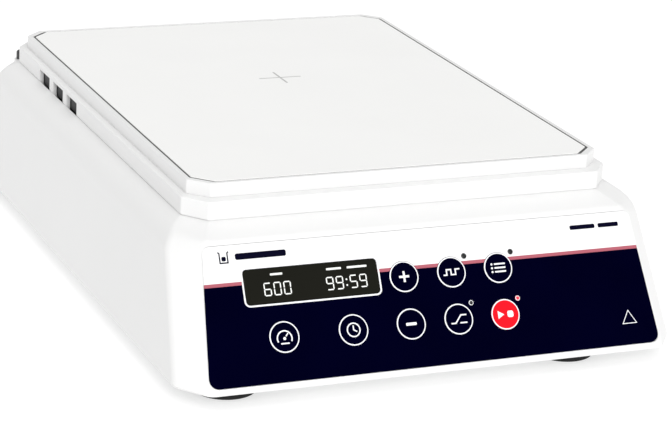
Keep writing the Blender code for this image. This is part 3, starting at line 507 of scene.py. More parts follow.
rubber = textured("foot_rubber", (0.014, 0.014, 0.014), 0.75, 0.7 * MM, 0.03 * MM, drift=0.3, specular=0.3)
CORNERS = ["front_left", "front_right", "rear_left", "rear_right"]
for corner in CORNERS:
    low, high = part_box("foot_" + corner)
    at, r, top = ((low + high) / 2).xy, (high.x - low.x) / 2, high.z
    tread = [(p.x, p.z) for p in soften([(r - 5 * MM, 0, 0), (r, 0, 0), (r, 0, top / 2)],
                                        (0, TREAD_ROUND, 0), 5)]
    groove = [(r - depth, top * share) for depth, share in zip((0, GRIP_DEPTH, GRIP_DEPTH, 0), GRIP_HEIGHTS)]
    bore = SCREW_RADIUS + GAP
    section = [(FOOT_WELL[0], 0)] + tread[:-1] + groove + [(r, top - FOOT_EDGE), (r - FOOT_EDGE, top)]
    section += [(bore, top), (bore, FOOT_WELL[1]), (FOOT_WELL[0], FOOT_WELL[1])]
    bm = bmesh.new()
    lathe(bm, section, at)
    piece(f"rubber_foot_{corner}", bm, rubber, stands_for=["foot_" + corner])

# ---- Screws ------------------------------------------------------------------------
# Zinc-plated pan-head screws with a cross recess: four hold the feet, from inside their
# wells, and four hold the base plate.
RECESS_SPAN, RECESS_WIDTH, RECESS_DEPTH = 3.4 * MM, 0.7 * MM, 1.1 * MM
HEAD_HEIGHT = {"foot": 2.2 * MM, "housing": 1.8 * MM}
THREAD_PITCH = 0.8 * MM
THREAD_DEPTH = 0.25 * MM
bright_zinc = textured("screw_zinc", (0.66, 0.66, 0.63), 0.28, 0.5 * MM, 0.004 * MM, drift=0.15, metallic=1.0)


def cross_outline(span, width, at=(0.0, 0.0)):
    """A cross whose arms reach half the span (across, up) each way."""
    a, b, w = span[0] / 2, span[1] / 2, width / 2
    corners = [(a, -w), (a, w), (w, w), (w, b), (-w, b), (-w, w), (-a, w), (-a, -w), (-w, -w), (-w, -b),
               (w, -b), (w, -w)]
    return [(at[0] + x, at[1] + y) for x, y in corners]


for node in [f"foot_screw_{c}" for c in CORNERS] + [f"housing_screw_{i}" for i in range(1, 5)]:
    low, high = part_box(node)
    at, head = ((low + high) / 2).xy, (high.x - low.x) / 2
    seat = low.z + HEAD_HEIGHT[node.split("_")[0]]
    dome = [(head * 0.55, low.z), (head * 0.8, low.z + 0.2 * MM), (head * 0.95, low.z + 0.7 * MM),
            (head, low.z + 1.2 * MM), (head, seat)]
    thread = []
    z = seat
    while z < high.z - 1.2 * MM:
        thread += [(SCREW_RADIUS, z), (SCREW_RADIUS - THREAD_DEPTH, z + THREAD_PITCH / 2)]
        z += THREAD_PITCH
    bm = bmesh.new()
    tip = [(SCREW_RADIUS, high.z - 0.6 * MM), (SCREW_RADIUS - 0.5 * MM, high.z)]
    turned(bm, dome + thread + tip, at, 24)
    screw = piece(f"zinc_{node}", bm, bright_zinc, stands_for=[node])
    recess = cross_outline((RECESS_SPAN, RECESS_SPAN), RECESS_WIDTH, at)
    shape(screw, lambda bm: prism(bm, recess, low.z - MM, low.z + RECESS_DEPTH))

# ---- Tray --------------------------------------------------------------------------
# A shallow white moulding that stands on the plinth. Its raised rim frames the top plate,
# which drops into the pocket on a foam pad.
TRAY_CUT = (12.5 * MM, 12.5 * MM)
TRAY_RIM = 3.4 * MM
TRAY_FLOOR = 2.5 * MM
TRAY_EDGE = 0.7 * MM
TRAY_CORNER = 0.8 * MM
TRAY_SHADOW = 0.08 * MM              # open line between the tray and the deck


def tray_ring(inset, z):
    outline = [(x, y, z) for x, y in cut_rectangle(tray_high.x, tray_low.y, tray_high.y, TRAY_CUT, inset)]
    return soften(outline, [TRAY_CORNER] * 8, 3, closed=True)


def edge_rings(corners, reaches):
    """Tray rings along a section of (inset, height) corners."""
    return [tray_ring(p.x, p.z) for p in soften([(x, 0, z) for x, z in corners], reaches, 5)]


tray_foot = deck_z + TRAY_SHADOW
bm = bmesh.new()
loft(bm, edge_rings(
    [(3 * MM, tray_foot), (0, tray_foot), (0, tray_high.z), (TRAY_RIM, tray_high.z),
     (TRAY_RIM, tray_low.z + TRAY_FLOOR), (TRAY_RIM + 2 * MM, tray_low.z + TRAY_FLOOR)],
    (0, 0, TRAY_EDGE, 0.3 * MM, 0, 0)))
tray_white = textured("tray_moulding", (0.80, 0.80, 0.797), 0.38, 0.5 * MM, 0.005 * MM, drift=0.012)
piece("tray", bm, tray_white, stands_for=["tray_frame"])
dress("plate_pad", foam)

# ---- Top plate -----------------------------------------------------------------------
# An enamelled metal plate in a warm light grey, with a narrow groove all round it. A fine
# cross printed in grey marks the point over the drive where the vessel stands.
top_low, top_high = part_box("top_plate")
GROOVE_EXTRA = 0.7 * MM              # room for the gasket beside the plate
plate_inset = tray_high.x - top_high.x + GROOVE_EXTRA
bm = bmesh.new()
loft(bm, edge_rings([(plate_inset + 2 * MM, top_low.z), (plate_inset, top_low.z), (plate_inset, top_high.z),
                     (plate_inset + 2 * MM, top_high.z)], (0, 0.3 * MM, 0.35 * MM, 0)))
enamel = textured("plate_enamel", (0.93, 0.93, 0.918), 0.33, 0.9 * MM, 0.006 * MM, drift=0.015)
piece("enamel_plate", bm, enamel, stands_for=["top_plate"])

# A dark grey gasket fills the groove round the plate, just below its face. Its dark tone is partly a real
# gasket's colour and partly painted shade, standing in for the shadow down in the groove.
GASKET_SINK = 0.45 * MM
GASKET_THICK = 2 * MM
bm = bmesh.new()
gasket_top = top_high.z - GASKET_SINK
loft(bm, [tray_ring(inset, z) for inset, z in (
    (TRAY_RIM, gasket_top - GASKET_THICK), (TRAY_RIM, gasket_top), (plate_inset, gasket_top),
    (plate_inset, gasket_top - GASKET_THICK))], caps=False)
# Dark grey: a gasket's own colour, darkened as painted shade for the groove's shadow.
gasket_painted_shade = textured("gasket_painted_shade", (0.10, 0.10, 0.098), 0.7, 0.5 * MM, 0.01 * MM, drift=0.2, specular=0.2)
piece("plate_gasket_shade", bm, gasket_painted_shade)

CROSS = (33 * MM, 29 * MM)
CROSS_STROKE = 1.5 * MM
INK = 0.04 * MM                      # thickness of a print
drive_at = Vector(next(j for j in frame["joints"] if j["name"] == "rotor_spin")["pos_m"])
bm = bmesh.new()
prism(bm, cross_outline(CROSS, CROSS_STROKE, drive_at), top_high.z, top_high.z + INK)
grey_ink = textured("cross_ink", (0.50, 0.50, 0.49), 0.45, 0.4 * MM, 0.002 * MM)
piece("stirring_point_mark", bm, grey_ink)

# ---- Keypad overlay --------------------------------------------------------------------
# A polyester film printed on its face: white above, a rose line, and navy below. It is
# glued into a shallow recess in the sloping front, flush with it.
STRIPE = (65.0 * MM, 67.3 * MM)      # rose line, up the slope
FILM_INSET = 0.12 * MM               # fine line round the film
white_film = textured("white_film", (0.88, 0.88, 0.88), 0.4, 0.5 * MM, 0.003 * MM, drift=0.01, specular=0.3)
rose_film = textured("rose_film", (0.43, 0.115, 0.15), 0.42, 0.5 * MM, 0.003 * MM, drift=0.05, specular=0.1)
navy_film = textured("navy_film", (0.0004, 0.0004, 0.0105), 0.42, 0.5 * MM, 0.003 * MM, drift=0.25,
                     specular=0.0)
white_ink = textured("white_ink", (0.86, 0.86, 0.88), 0.45, 0.4 * MM, 0.002 * MM, drift=0.02)
navy_ink = textured("navy_ink", (0.001, 0.001, 0.013), 0.45, 0.4 * MM, 0.002 * MM, drift=0.2, specular=0.03)
bm = bmesh.new()
prism(bm, overlay_outline(-FILM_INSET), -OVERLAY_THICK, 0)
overlay = piece("keypad_overlay", bm, white_film, stands_for=["control_overlay"], place=PANEL)
shape(overlay, lambda bm: panel_openings(bm, -CLEAR, CLEAR), PANEL)
for film in (rose_film, navy_film):
    overlay.data.materials.append(film)
bm = bmesh.new()
bm.from_mesh(overlay.data)
for up in STRIPE:
    bmesh.ops.bisect_plane(bm, geom=bm.verts[:] + bm.edges[:] + bm.faces[:], plane_co=(0, up, 0),
                           plane_no=(0, 1, 0), dist=1e-7)
for face in bm.faces:
    up = face.calc_center_median().y
    face.material_index = 0 if up > STRIPE[1] else 1 if up > STRIPE[0] else 2
bm.to_mesh(overlay.data)
bm.free()
shade(overlay)


def ribbon(bm, points, width, low, high, closed=False):
    """A flat line of even width through the points, with its corners mitred."""
    points = [Vector(p).to_2d() for p in points]
    count = len(points)
    rings = []
    for i, here in enumerate(points):
        into = (here - points[i - 1]).normalized() if closed or i else None
        out = (points[(i + 1) % count] - here).normalized() if closed or i < count - 1 else into
        into = into or out
        side = Vector((-(into.y + out.y), into.x + out.x)).normalized()
        reach = side * width / 2 / max(0.3, side.dot(Vector((-into.y, into.x))))
        left, right = here + reach, here - reach
        rings.append([(*left, low), (*left, high), (*right, high), (*right, low)])
    loft(bm, rings, caps=not closed)


def arc(radius, start, end, count=24, at=(0.0, 0.0)):
    """Points along part of a circle, angles in degrees."""
    turns = (math.radians(start + (end - start) * i / (count - 1)) for i in range(count))
    return [(at[0] + radius * math.cos(a), at[1] + radius * math.sin(a)) for a in turns]


def bar(bm, left, right, up, height, low=0.0, high=INK):
    """A printed bar with rounded ends."""
    outline = rectangle(right - left, height, ((left + right) / 2, up))
    prism(bm, soften([(*p, 0) for p in outline], [height * 0.3] * 4, 3, closed=True), low, high)


# White border round the display window.
BORDER = 1.1 * MM
bm = bmesh.new()
ribbon(bm, window_outline(GAP + BORDER / 2), BORDER, 0, INK, closed=True)
piece("window_border", bm, white_ink, place=PANEL)

# Plain printed marks: a beaker with a bar at the upper left, two bars at the upper right
# and an empty triangle at the lower right.
bm = bmesh.new()
BEAKER_AT = (-143.5 * MM, 80.2 * MM)
NAME_BAR = (-133 * MM, -98 * MM)
TYPE_BARS = ((108 * MM, 127 * MM), (129.5 * MM, 145 * MM))
beaker = [(-0.9, 7.2), (0, 6.3), (0, 0), (5.4, 0), (5.4, 6.3), (6.3, 7.2)]
ribbon(bm, [(BEAKER_AT[0] + x * MM, BEAKER_AT[1] + y * MM) for x, y in beaker], 0.9 * MM, 0, INK)
bar(bm, BEAKER_AT[0] + 1.2 * MM, BEAKER_AT[0] + 4.2 * MM, BEAKER_AT[1] + 2.6 * MM, 3 * MM)
bar(bm, *NAME_BAR, 83.6 * MM, 4.2 * MM)
for ends in TYPE_BARS:
    bar(bm, *ends, 83 * MM, 3 * MM)
piece("overlay_marks", bm, navy_ink, place=PANEL)
TRIANGLE = ((136.3, 14.5), (146.7, 14.5), (141.5, 23.3))
bm = bmesh.new()
ribbon(bm, [(x * MM, y * MM) for x, y in TRIANGLE], 0.5 * MM, 0, INK, closed=True)
piece("triangle_mark", bm, white_ink, place=PANEL)

# ---- Keys ------------------------------------------------------------------------------
# Eight round film-faced keys that press straight into the sloping front. Each is printed
# with a white ring round its edge and a plain symbol for what it does.
KEY_HEIGHT = 4 * MM
KEY_PROUD = 0.3 * MM
KEY_RING = 0.85 * MM
key_navy = textured("key_navy", (0.0004, 0.0004, 0.0105), 0.4, 0.5 * MM, 0.003 * MM, drift=0.25,
                    specular=0.0)
key_red = textured("key_red", (0.93, 0.008, 0.018), 0.4, 0.5 * MM, 0.003 * MM, drift=0.05, specular=0.05)
KEY_SECTION = ((0.3 * MM, KEY_HEIGHT), (0, KEY_HEIGHT - 0.3 * MM), (0, 0.25 * MM), (0.08 * MM, 0.08 * MM),
               (0.25 * MM, 0), (KEY_RING, 0))         # in from the edge, down from the face
ON_KEY = (KEY_PROUD, KEY_PROUD + INK)


def plus(bm):
    prism(bm, cross_outline((7.2 * MM, 7.2 * MM), 1.5 * MM), *ON_KEY)


def minus(bm):
    bar(bm, -3.8 * MM, 3.8 * MM, 0, 1.9 * MM, *ON_KEY)


def pulse(bm):
    wave = [(-6, -1.7), (-3.6, -1.7), (-3.6, 1.8), (-0.4, 1.8), (-0.4, -1.7), (2.8, -1.7), (2.8, 1.8),
            (6, 1.8)]
    ribbon(bm, [(x * MM, y * MM) for x, y in wave], 0.95 * MM, *ON_KEY)


def program(bm):
    for up in (-2.6, 0, 2.6):
        bar(bm, -2.8 * MM, 5.4 * MM, up * MM, 1.1 * MM, *ON_KEY)
        prism(bm, circle(0.75 * MM, 16, (-4.6 * MM, up * MM)), *ON_KEY)


def ramp(bm):
    slope = [(-5.8, -2.6), (-2.6, -2.6), (1.8, 2.6), (5.8, 2.6)]
    ribbon(bm, [(x * MM, y * MM) for x, y in slope], 0.95 * MM, *ON_KEY)
    bar(bm, 0.6 * MM, 5.8 * MM, -2.6 * MM, 0.95 * MM, *ON_KEY)


def start(bm):
    prism(bm, [(-5.6 * MM, -2.7 * MM), (-1 * MM, 0), (-5.6 * MM, 2.7 * MM)], *ON_KEY)
    bar(bm, 1.3 * MM, 5.7 * MM, 0, 4.4 * MM, *ON_KEY)


def clock(bm):
    ribbon(bm, circle(4.4 * MM, 40), 0.85 * MM, *ON_KEY, closed=True)
    ribbon(bm, [(0, 2.9 * MM), (0, 0), (2.3 * MM, -1.3 * MM)], 0.85 * MM, *ON_KEY)


def gauge(bm):
    ribbon(bm, arc(5 * MM, 205, -25, 32, (0, -1 * MM)), 0.9 * MM, *ON_KEY)
    prism(bm, circle(1 * MM, 20, (0, -1 * MM)), *ON_KEY)
    ribbon(bm, [(1 * MM, 0.3 * MM), (2.6 * MM, 2.2 * MM)], 0.8 * MM, *ON_KEY)
    bar(bm, -3 * MM, 3 * MM, -4.2 * MM, 0.9 * MM, *ON_KEY)


SYMBOLS = {"key_plus": plus, "key_minus": minus, "key_pulse": pulse, "key_program": program,
           "key_ramp": ramp, "key_start": start, "key_time": clock, "key_speed": gauge}
for node, draw in SYMBOLS.items():
    place = PANEL @ Matrix.Translation((*on_panel(node), 0))
    colour = key_red if node == "key_start" else key_navy
    bm = bmesh.new()
    turned(bm, [(KEY_RADIUS - inset, KEY_PROUD - down) for inset, down in KEY_SECTION], count=80)
    for face in bm.faces:
        middle = face.calc_center_median()
        face.material_index = int(middle.z > KEY_PROUD - 0.2 * MM and middle.xy.length > KEY_RADIUS / 2)
    piece(f"{node}_cap", bm, [colour, white_ink], node, [node], place)
    bm = bmesh.new()
    draw(bm)
    piece(f"{node}_symbol", bm, white_ink, node, place=place)

# ---- Lamps -------------------------------------------------------------------------------
# Four small clear lenses moulded in one with their light pipes. Only the start lamp is
# lit red; the two below the line have a thin white printed ring.
LAMP_RING = 0.45 * MM
LAMP_DEPTH = 4 * MM
dark_lens = textured("lamp_dark", (0.012, 0.013, 0.014), 0.22, 0.4 * MM, 0.002 * MM, drift=0.2)
red_lens = textured("lamp_red", (0.85, 0.03, 0.06), 0.2, 0.4 * MM, 0.002 * MM, drift=0.1)


def glow(mat, colour, strength):
    """Makes a finish give light of its own."""
    shader = mat.node_tree.nodes["Principled BSDF"]
    shader.inputs["Emission Color"].default_value = (*colour, 1)
    shader.inputs["Emission Strength"].default_value = strength


glow(red_lens, (1, 0.05, 0.08), 0.25)
for node in LAMP_NODES:
    place = PANEL @ Matrix.Translation((*on_panel(node), 0))
    r = LAMP_RADIUS
    ringed = node in ("lamp_ramp", "lamp_start")
    lens = r - LAMP_RING if ringed else r
    bm = bmesh.new()
    turned(bm, [(r, -LAMP_DEPTH), (r, -0.1 * MM), (r - 0.1 * MM, 0), (lens, 0), (lens * 0.97, 0.08 * MM),
                (lens * 0.8, 0.15 * MM), (lens * 0.45, 0.2 * MM)], count=32)
    for face in bm.faces:
        middle = face.calc_center_median()
        face.material_index = int(ringed and abs(middle.z) < 0.07 * MM and middle.xy.length > lens)
    piece(f"{node}_lens", bm, [red_lens if node == "lamp_start" else dark_lens, white_ink],
          stands_for=[node], place=place)

# ---- Display -------------------------------------------------------------------------------
# A smoked window, flush with the overlay, over a liquid-crystal module. The bright
# seven-segment figures seen through it are the speed at the left and the time at the right.
smoke = textured("smoked_window", (0.0105, 0.0105, 0.0075), 0.16, 2 * MM, 0.001 * MM, drift=0.15,
                 specular=0.06)
WINDOW_FACE = -0.1 * MM
bm = bmesh.new()
loft(bm, [window_outline(g) for g in (0, 0, -0.2 * MM)])
for ring, height in zip(range(3), (-OVERLAY_THICK, WINDOW_FACE - 0.2 * MM, WINDOW_FACE)):
    bm.verts.ensure_lookup_table()
    count = len(bm.verts) // 3
    for vert in bm.verts[ring * count:(ring + 1) * count]:
        vert.co.z = height
piece("window_pane", bm, smoke, stands_for=["display_window"], place=PANEL)
glass = textured("display_glass", (0.016, 0.015, 0.010), 0.3, 0.6 * MM, 0.002 * MM, drift=0.2, specular=0.2)
dress("display_module", glass)
lit = textured("lit_segment", (0.86, 0.87, 0.84), 0.5, 0.5 * MM, 0.002 * MM, drift=0.05)
ON_WINDOW = (WINDOW_FACE, WINDOW_FACE + INK)
FIGURE = (5.2 * MM, 8.8 * MM)
FIGURE_UP = 56.3 * MM
FIGURE_PITCH = 6.8 * MM
SEGMENT = 0.8 * MM
SEGMENT_GAP = 0.12 * MM
SEGMENTS = {"0": "abcdef", "5": "acdfg", "6": "acdefg", "9": "abcdfg"}


def figure(bm, digit, left):
    """One seven-segment figure. Each segment is a bar with pointed ends."""
    w, h = FIGURE[0] - SEGMENT, FIGURE[1] - SEGMENT
    x, y = left + SEGMENT / 2, FIGURE_UP + SEGMENT / 2
    ends = {"a": ((0, h), (w, h)), "b": ((w, h), (w, h / 2)), "c": ((w, h / 2), (w, 0)),
            "d": ((w, 0), (0, 0)), "e": ((0, 0), (0, h / 2)), "f": ((0, h / 2), (0, h)),
            "g": ((0, h / 2), (w, h / 2))}
    for name in SEGMENTS[digit]:
        a, b = (Vector((x + p[0], y + p[1])) for p in ends[name])
        along = (b - a).normalized()
        across = Vector((-along.y, along.x)) * SEGMENT / 2
        a, b = a + along * SEGMENT_GAP, b - along * SEGMENT_GAP
        tip = along * SEGMENT / 2
        outline = [a, a + tip - across, b - tip - across, b, b - tip + across, a + tip + across]
        prism(bm, outline, *ON_WINDOW)


SPEED_LEFT, TIME_LEFT, COLON = -116.5 * MM, -73.2 * MM, 4.6 * MM
CAPTIONS = ((-111, -102.5), (-72, -61.5), (-57.5, -43.5))
CAPTION_UP = 70.2 * MM
bm = bmesh.new()
for i, digit in enumerate("600"):
    figure(bm, digit, SPEED_LEFT + i * FIGURE_PITCH)
for i, digit in enumerate("9959"):
    figure(bm, digit, TIME_LEFT + i * FIGURE_PITCH + (COLON - FIGURE_PITCH + FIGURE[0]) * (i > 1))
colon_x = TIME_LEFT + FIGURE_PITCH + FIGURE[0] + COLON / 2
for up in (2.4 * MM, 6.2 * MM):
    prism(bm, circle(0.6 * MM, 16, (colon_x, FIGURE_UP + up)), *ON_WINDOW)
for left, right in CAPTIONS:
    bar(bm, left * MM, right * MM, CAPTION_UP, 1.4 * MM, *ON_WINDOW)
piece("display_figures", bm, lit, place=PANEL)

# ---- Behind the keypad -----------------------------------------------------------------------
# A sprung sheet of metal domes under the keys, on the board that carries the display.
LAMINATE = (0.015, 0.14, 0.055)
BOARD_STANDOFF = 8 * MM
BOARD_THICK = 1.7 * MM
dress("dome_sheet", textured("dome_sheet_film", (0.55, 0.55, 0.53), 0.4, 0.6 * MM, 0.01 * MM, drift=0.1))


def board_finish(name, board_top, parts_colour):
    """Green laminate up to the board's face, and the components' own colour above it."""
    mat = textured(name, LAMINATE, 0.42, 0.9 * MM, 0.02 * MM, drift=0.35)
    nodes, link = mat.node_tree.nodes, mat.node_tree.links.new
    where = nodes.new("ShaderNodeTexCoord")
    split = nodes.new("ShaderNodeSeparateXYZ")
    above = nodes.new("ShaderNodeMath")
    above.operation = "GREATER_THAN"
    above.inputs[1].default_value = board_top
    choose = nodes.new("ShaderNodeMixRGB")
    choose.inputs["Color2"].default_value = (*parts_colour, 1)
    link(where.outputs["Object"], split.inputs["Vector"])
    link(split.outputs["Z"], above.inputs[0])
    link(above.outputs["Value"], choose.inputs["Fac"])
    link(nodes["Color Ramp"].outputs["Color"], choose.inputs["Color1"])
    link(choose.outputs["Color"], nodes["Principled BSDF"].inputs["Base Color"])
    return mat


dress("display_board", textured("display_board_laminate", LAMINATE, 0.42, 0.9 * MM, 0.02 * MM, 0.35))
BOARD_TOP = plate_top + BOARD_STANDOFF + BOARD_THICK
dress("power_supply_board", board_finish("power_board", BOARD_TOP, (0.03, 0.03, 0.035)))
dress("control_board", board_finish("control_board", BOARD_TOP, (0.05, 0.05, 0.05)))

# ---- Drive -------------------------------------------------------------------------------------
# A flat motor on a steel bracket and four rubber dampers. Its shaft turns in two ball
# bearings and carries an aluminium bar with a round magnet at each end.
cast = textured("motor_casting", (0.62, 0.63, 0.64), 0.45, 0.8 * MM, 0.02 * MM, drift=0.1, metallic=1.0)
machined = textured("machined_bar", (0.70, 0.71, 0.72), 0.3, 0.35 * MM, 0.006 * MM, drift=0.08, metallic=1.0,
                    stretch=(0.15, 1, 1))
ground = textured("ground_steel", (0.60, 0.60, 0.60), 0.22, 0.3 * MM, 0.002 * MM, drift=0.06, metallic=1.0)
nickel = textured("magnet_nickel", (0.58, 0.57, 0.54), 0.2, 0.9 * MM, 0.002 * MM, drift=0.06, metallic=1.0)
FIN_MARGIN = 6 * MM                  # plain band above and below the fins
FIN_DEPTH = 2 * MM
FIN_SLOPE = 0.5 * MM
dress("motor_bracket", zinc)
dress("magnet_carrier", machined)


def turned_piece(node, finish, body="housing", bore=0.0, edge=0.5 * MM, fins=0):
    """A round piece with broken edges, a bore and cooling fins where it has them."""
    low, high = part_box(node)
    at, r = ((low + high) / 2).xy, (high.x - low.x) / 2
    section = [(r - edge, low.z), (r, low.z + edge)]
    pitch = (high.z - low.z - 2 * FIN_MARGIN) / max(fins, 1)
    for i in range(fins):
        z = low.z + FIN_MARGIN + i * pitch
        section += [(r, z), (r - FIN_DEPTH, z + FIN_SLOPE), (r - FIN_DEPTH, z + pitch / 2),
                    (r, z + pitch / 2 + FIN_SLOPE)]
    section += [(r, high.z - edge), (r - edge, high.z)]
    bm = bmesh.new()
    if bore:
        lathe(bm, section + [(bore, high.z), (bore, low.z)], at)
    else:
        turned(bm, section, at)
    piece(f"turned_{node}", bm, finish, body, [node])


BEARING_RADIUS = 11 * MM
SHAFT_RADIUS = 5 * MM
turned_piece("motor_body", cast, bore=BEARING_RADIUS + GAP, edge=1.5 * MM, fins=6)
turned_piece("motor_shaft", ground, "rotor")
for node in ("bearing_lower", "bearing_upper"):
    turned_piece(node, ground, bore=SHAFT_RADIUS + GAP)
for node in ("magnet_left", "magnet_right"):
    turned_piece(node, nickel, "rotor", edge=0.8 * MM)
for i in range(1, 5):
    turned_piece(f"motor_damper_{i}", rubber, edge=1.2 * MM)

# ---- Leads ---------------------------------------------------------------------------------------
# Plastic-sheathed leads: the mains from the inlet, power to the control board and the
# flat-laid display lead. They are clipped inside the housing.
black_sheath = textured("black_sheath", (0.02, 0.02, 0.02), 0.45, 0.6 * MM, 0.01 * MM, drift=0.2)
dress("mains_lead", black_sheath)
dress("power_lead", black_sheath)
dress("display_lead", textured("grey_sheath", (0.28, 0.28, 0.29), 0.5, 0.6 * MM, 0.01 * MM, drift=0.1))

# ---- Mains inlet and fuse drawer -------------------------------------------------------------------
# A black moulded three-pin inlet with a flange against the rear wall and nickel-plated
# pins. The fuse drawer slides out of its lower part.
black = textured("black_moulding", (0.018, 0.018, 0.019), 0.42, 0.45 * MM, 0.012 * MM, drift=0.2)
FLANGE = 2.5 * MM
FLANGE_MARGIN = (5 * MM, 3 * MM)
SOCKET = (24 * MM, 16.5 * MM)
SOCKET_UP = 7.5 * MM
SOCKET_DEPTH = 18 * MM
DRAWER = (22 * MM, 9 * MM)
DRAWER_DOWN = 10.5 * MM
DRAWER_DEPTH = 20 * MM
DRAWER_WALL = 2 * MM
PINS = ((-7 * MM, -2 * MM), (0, 2 * MM), (7 * MM, -2 * MM))
PIN_SIZE = (2 * MM, 4 * MM)
PIN_SHORT = 3 * MM                   # pins' ends, below the flange
FINGER_GRIP = (7 * MM, 1.6 * MM)
EDGE = 0.4 * MM
inlet_depth = rear_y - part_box("mains_inlet")[0].y


def block(bm, outline, low, high, edge=EDGE):
    """A prism whose upper rim is broken by a small chamfer."""
    middle = sum((Vector(p).to_2d() for p in outline), Vector((0, 0))) / len(outline)

    def pulled(p):
        arm = Vector(p).to_2d() - middle
        return middle + Vector([c - math.copysign(min(edge, abs(c)), c) for c in arm])

    rings = [[(p[0], p[1], z) for p in outline] for z in (low, high - edge)]
    loft(bm, rings + [[(*pulled(p), high) for p in outline]])


def rounded_block(size, corner, steps=4):
    return soften([(*p, 0) for p in rectangle(*size)], [corner] * 4, steps, closed=True)


bm = bmesh.new()
prism(bm, rounded_block(INLET_BODY, MM), -inlet_depth, FLANGE / 2)
inlet_at = rear_frame("mains_inlet")
inlet = piece("inlet_body", bm, black, stands_for=["mains_inlet"], place=inlet_at)
flange = rounded_block([INLET_BODY[i] + 2 * FLANGE_MARGIN[i] for i in (0, 1)], 2.5 * MM)
shape(inlet, lambda bm: block(bm, flange, GAP, FLANGE), inlet_at, "UNION")
half, low_edge, high_edge = SOCKET[0] / 2, SOCKET_UP - SOCKET[1] / 2, SOCKET_UP + SOCKET[1] / 2
nose = SOCKET[1] / 4
socket = [(-half, low_edge, 0), (half, low_edge, 0), (half, high_edge - nose, 0), (half - nose, high_edge, 0),
          (-half + nose, high_edge, 0), (-half, high_edge - nose, 0)]
socket = soften(socket, [1.2 * MM] * 6, 3, closed=True)
shape(inlet, lambda bm: prism(bm, socket, -SOCKET_DEPTH, CLEAR), inlet_at)
drawer_slot = rectangle(DRAWER[0] + 2 * GAP, DRAWER[1] + 2 * GAP, (0, -DRAWER_DOWN))
shape(inlet, lambda bm: prism(bm, drawer_slot, -DRAWER_DEPTH - GAP, CLEAR), inlet_at)
for i, (x, y) in enumerate(PINS, 1):
    bm = bmesh.new()
    block(bm, rectangle(*PIN_SIZE, (x, SOCKET_UP + y)), -SOCKET_DEPTH - MM, -PIN_SHORT, 0.6 * MM)
    piece(f"inlet_pin_{i}", bm, nickel, place=inlet_at)
bm = bmesh.new()
block(bm, rounded_block(DRAWER, 0.6 * MM), -DRAWER_DEPTH, FLANGE + 0.5 * MM)
drawer_at = inlet_at @ Matrix.Translation((0, -DRAWER_DOWN, 0))
drawer = piece("fuse_tray", bm, black, "fuse_drawer", ["fuse_drawer"], drawer_at)
bed = rectangle(DRAWER[0] - 2 * DRAWER_WALL, DRAWER[1], (0, DRAWER_WALL))
shape(drawer, lambda bm: prism(bm, bed, -DRAWER_DEPTH + DRAWER_WALL, -DRAWER_WALL), drawer_at)
finger = rectangle(*FINGER_GRIP, (0, DRAWER[1] / 2 - FINGER_GRIP[1] / 4))
shape(drawer, lambda bm: prism(bm, finger, FLANGE - 0.7 * MM, CLEAR), drawer_at)

# ---- Power switch ------------------------------------------------------------------------------------
# A black rocker in its own snap-in frame. The rocker turns about a pin across its middle
# and is marked with a line for on and a ring for off.
ROCKER = (16 * MM, 24 * MM)
ROCKER_PROUD = 5.5 * MM
ROCKER_DISH = 2 * MM
ROCKER_REST = math.radians(8)
ROCKER_EDGE = 0.35 * MM             # how far the rocker's side edges are eased
WELL_DEPTH = 12 * MM
switch_at = rear_frame("switch_frame")
switch_depth = rear_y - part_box("switch_frame")[0].y
bm = bmesh.new()
prism(bm, rounded_block(SWITCH_BODY, 0.8 * MM), -switch_depth, FLANGE / 2)
switch = piece("switch_bezel", bm, black, stands_for=["switch_frame"], place=switch_at)
bezel = rounded_block([s + 5 * MM for s in SWITCH_BODY], 2 * MM)
shape(switch, lambda bm: block(bm, bezel, GAP, FLANGE - 0.5 * MM), switch_at, "UNION")
well = rectangle(ROCKER[0] + 2 * GAP, ROCKER[1] + 3 * MM)
shape(switch, lambda bm: prism(bm, well, -WELL_DEPTH, CLEAR), switch_at)


def rocker_face(up):
    half = ROCKER[1] / 2
    return ROCKER_PROUD - ROCKER_DISH * (1 - (up / half) ** 2)


half = ROCKER[1] / 2
crown = [(half - ROCKER[1] * i / 24, rocker_face(half - ROCKER[1] * i / 24)) for i in range(25)]
crown[0], crown[-1] = (half - 0.1 * MM, crown[0][1] - 0.2 * MM), (-half + 0.1 * MM, crown[-1][1] - 0.2 * MM)
back = [(-half + MM, -1.5 * MM), (-3 * MM, -7 * MM), (3 * MM, -7 * MM), (half - MM, -1.5 * MM)]
section = crown + back
bm = bmesh.new()
breadth = ROCKER[0] / 2
loft(bm, [[(x, up * k, out - d) for up, out in section]
          for x, k, d in ((-breadth, 0.985, ROCKER_EDGE), (-breadth + EDGE, 1, 0), (breadth - EDGE, 1, 0),
                          (breadth, 0.985, ROCKER_EDGE))])
rocker_at = switch_at @ Matrix.Rotation(ROCKER_REST, 4, "X")
piece("rocker", bm, black, "switch", ["power_switch"], rocker_at)
MARK_UP = 6.5 * MM
line_mark = rectangle(1 * MM, 5 * MM, (0, MARK_UP))
rim, hole = (circle(r, 28, (0, -MARK_UP)) for r in (2.2 * MM, 1.4 * MM))
bm = bmesh.new()
loft(bm, [[(x, y, rocker_face(y) + k) for x, y in line_mark] for k in (0, INK)])
loft(bm, [[(x, y, rocker_face(y) + k) for x, y in edge]
          for edge, k in ((rim, -INK), (rim, INK), (hole, INK), (hole, -INK))], caps=False)
piece("rocker_marks", bm, white_ink, "switch", place=rocker_at)

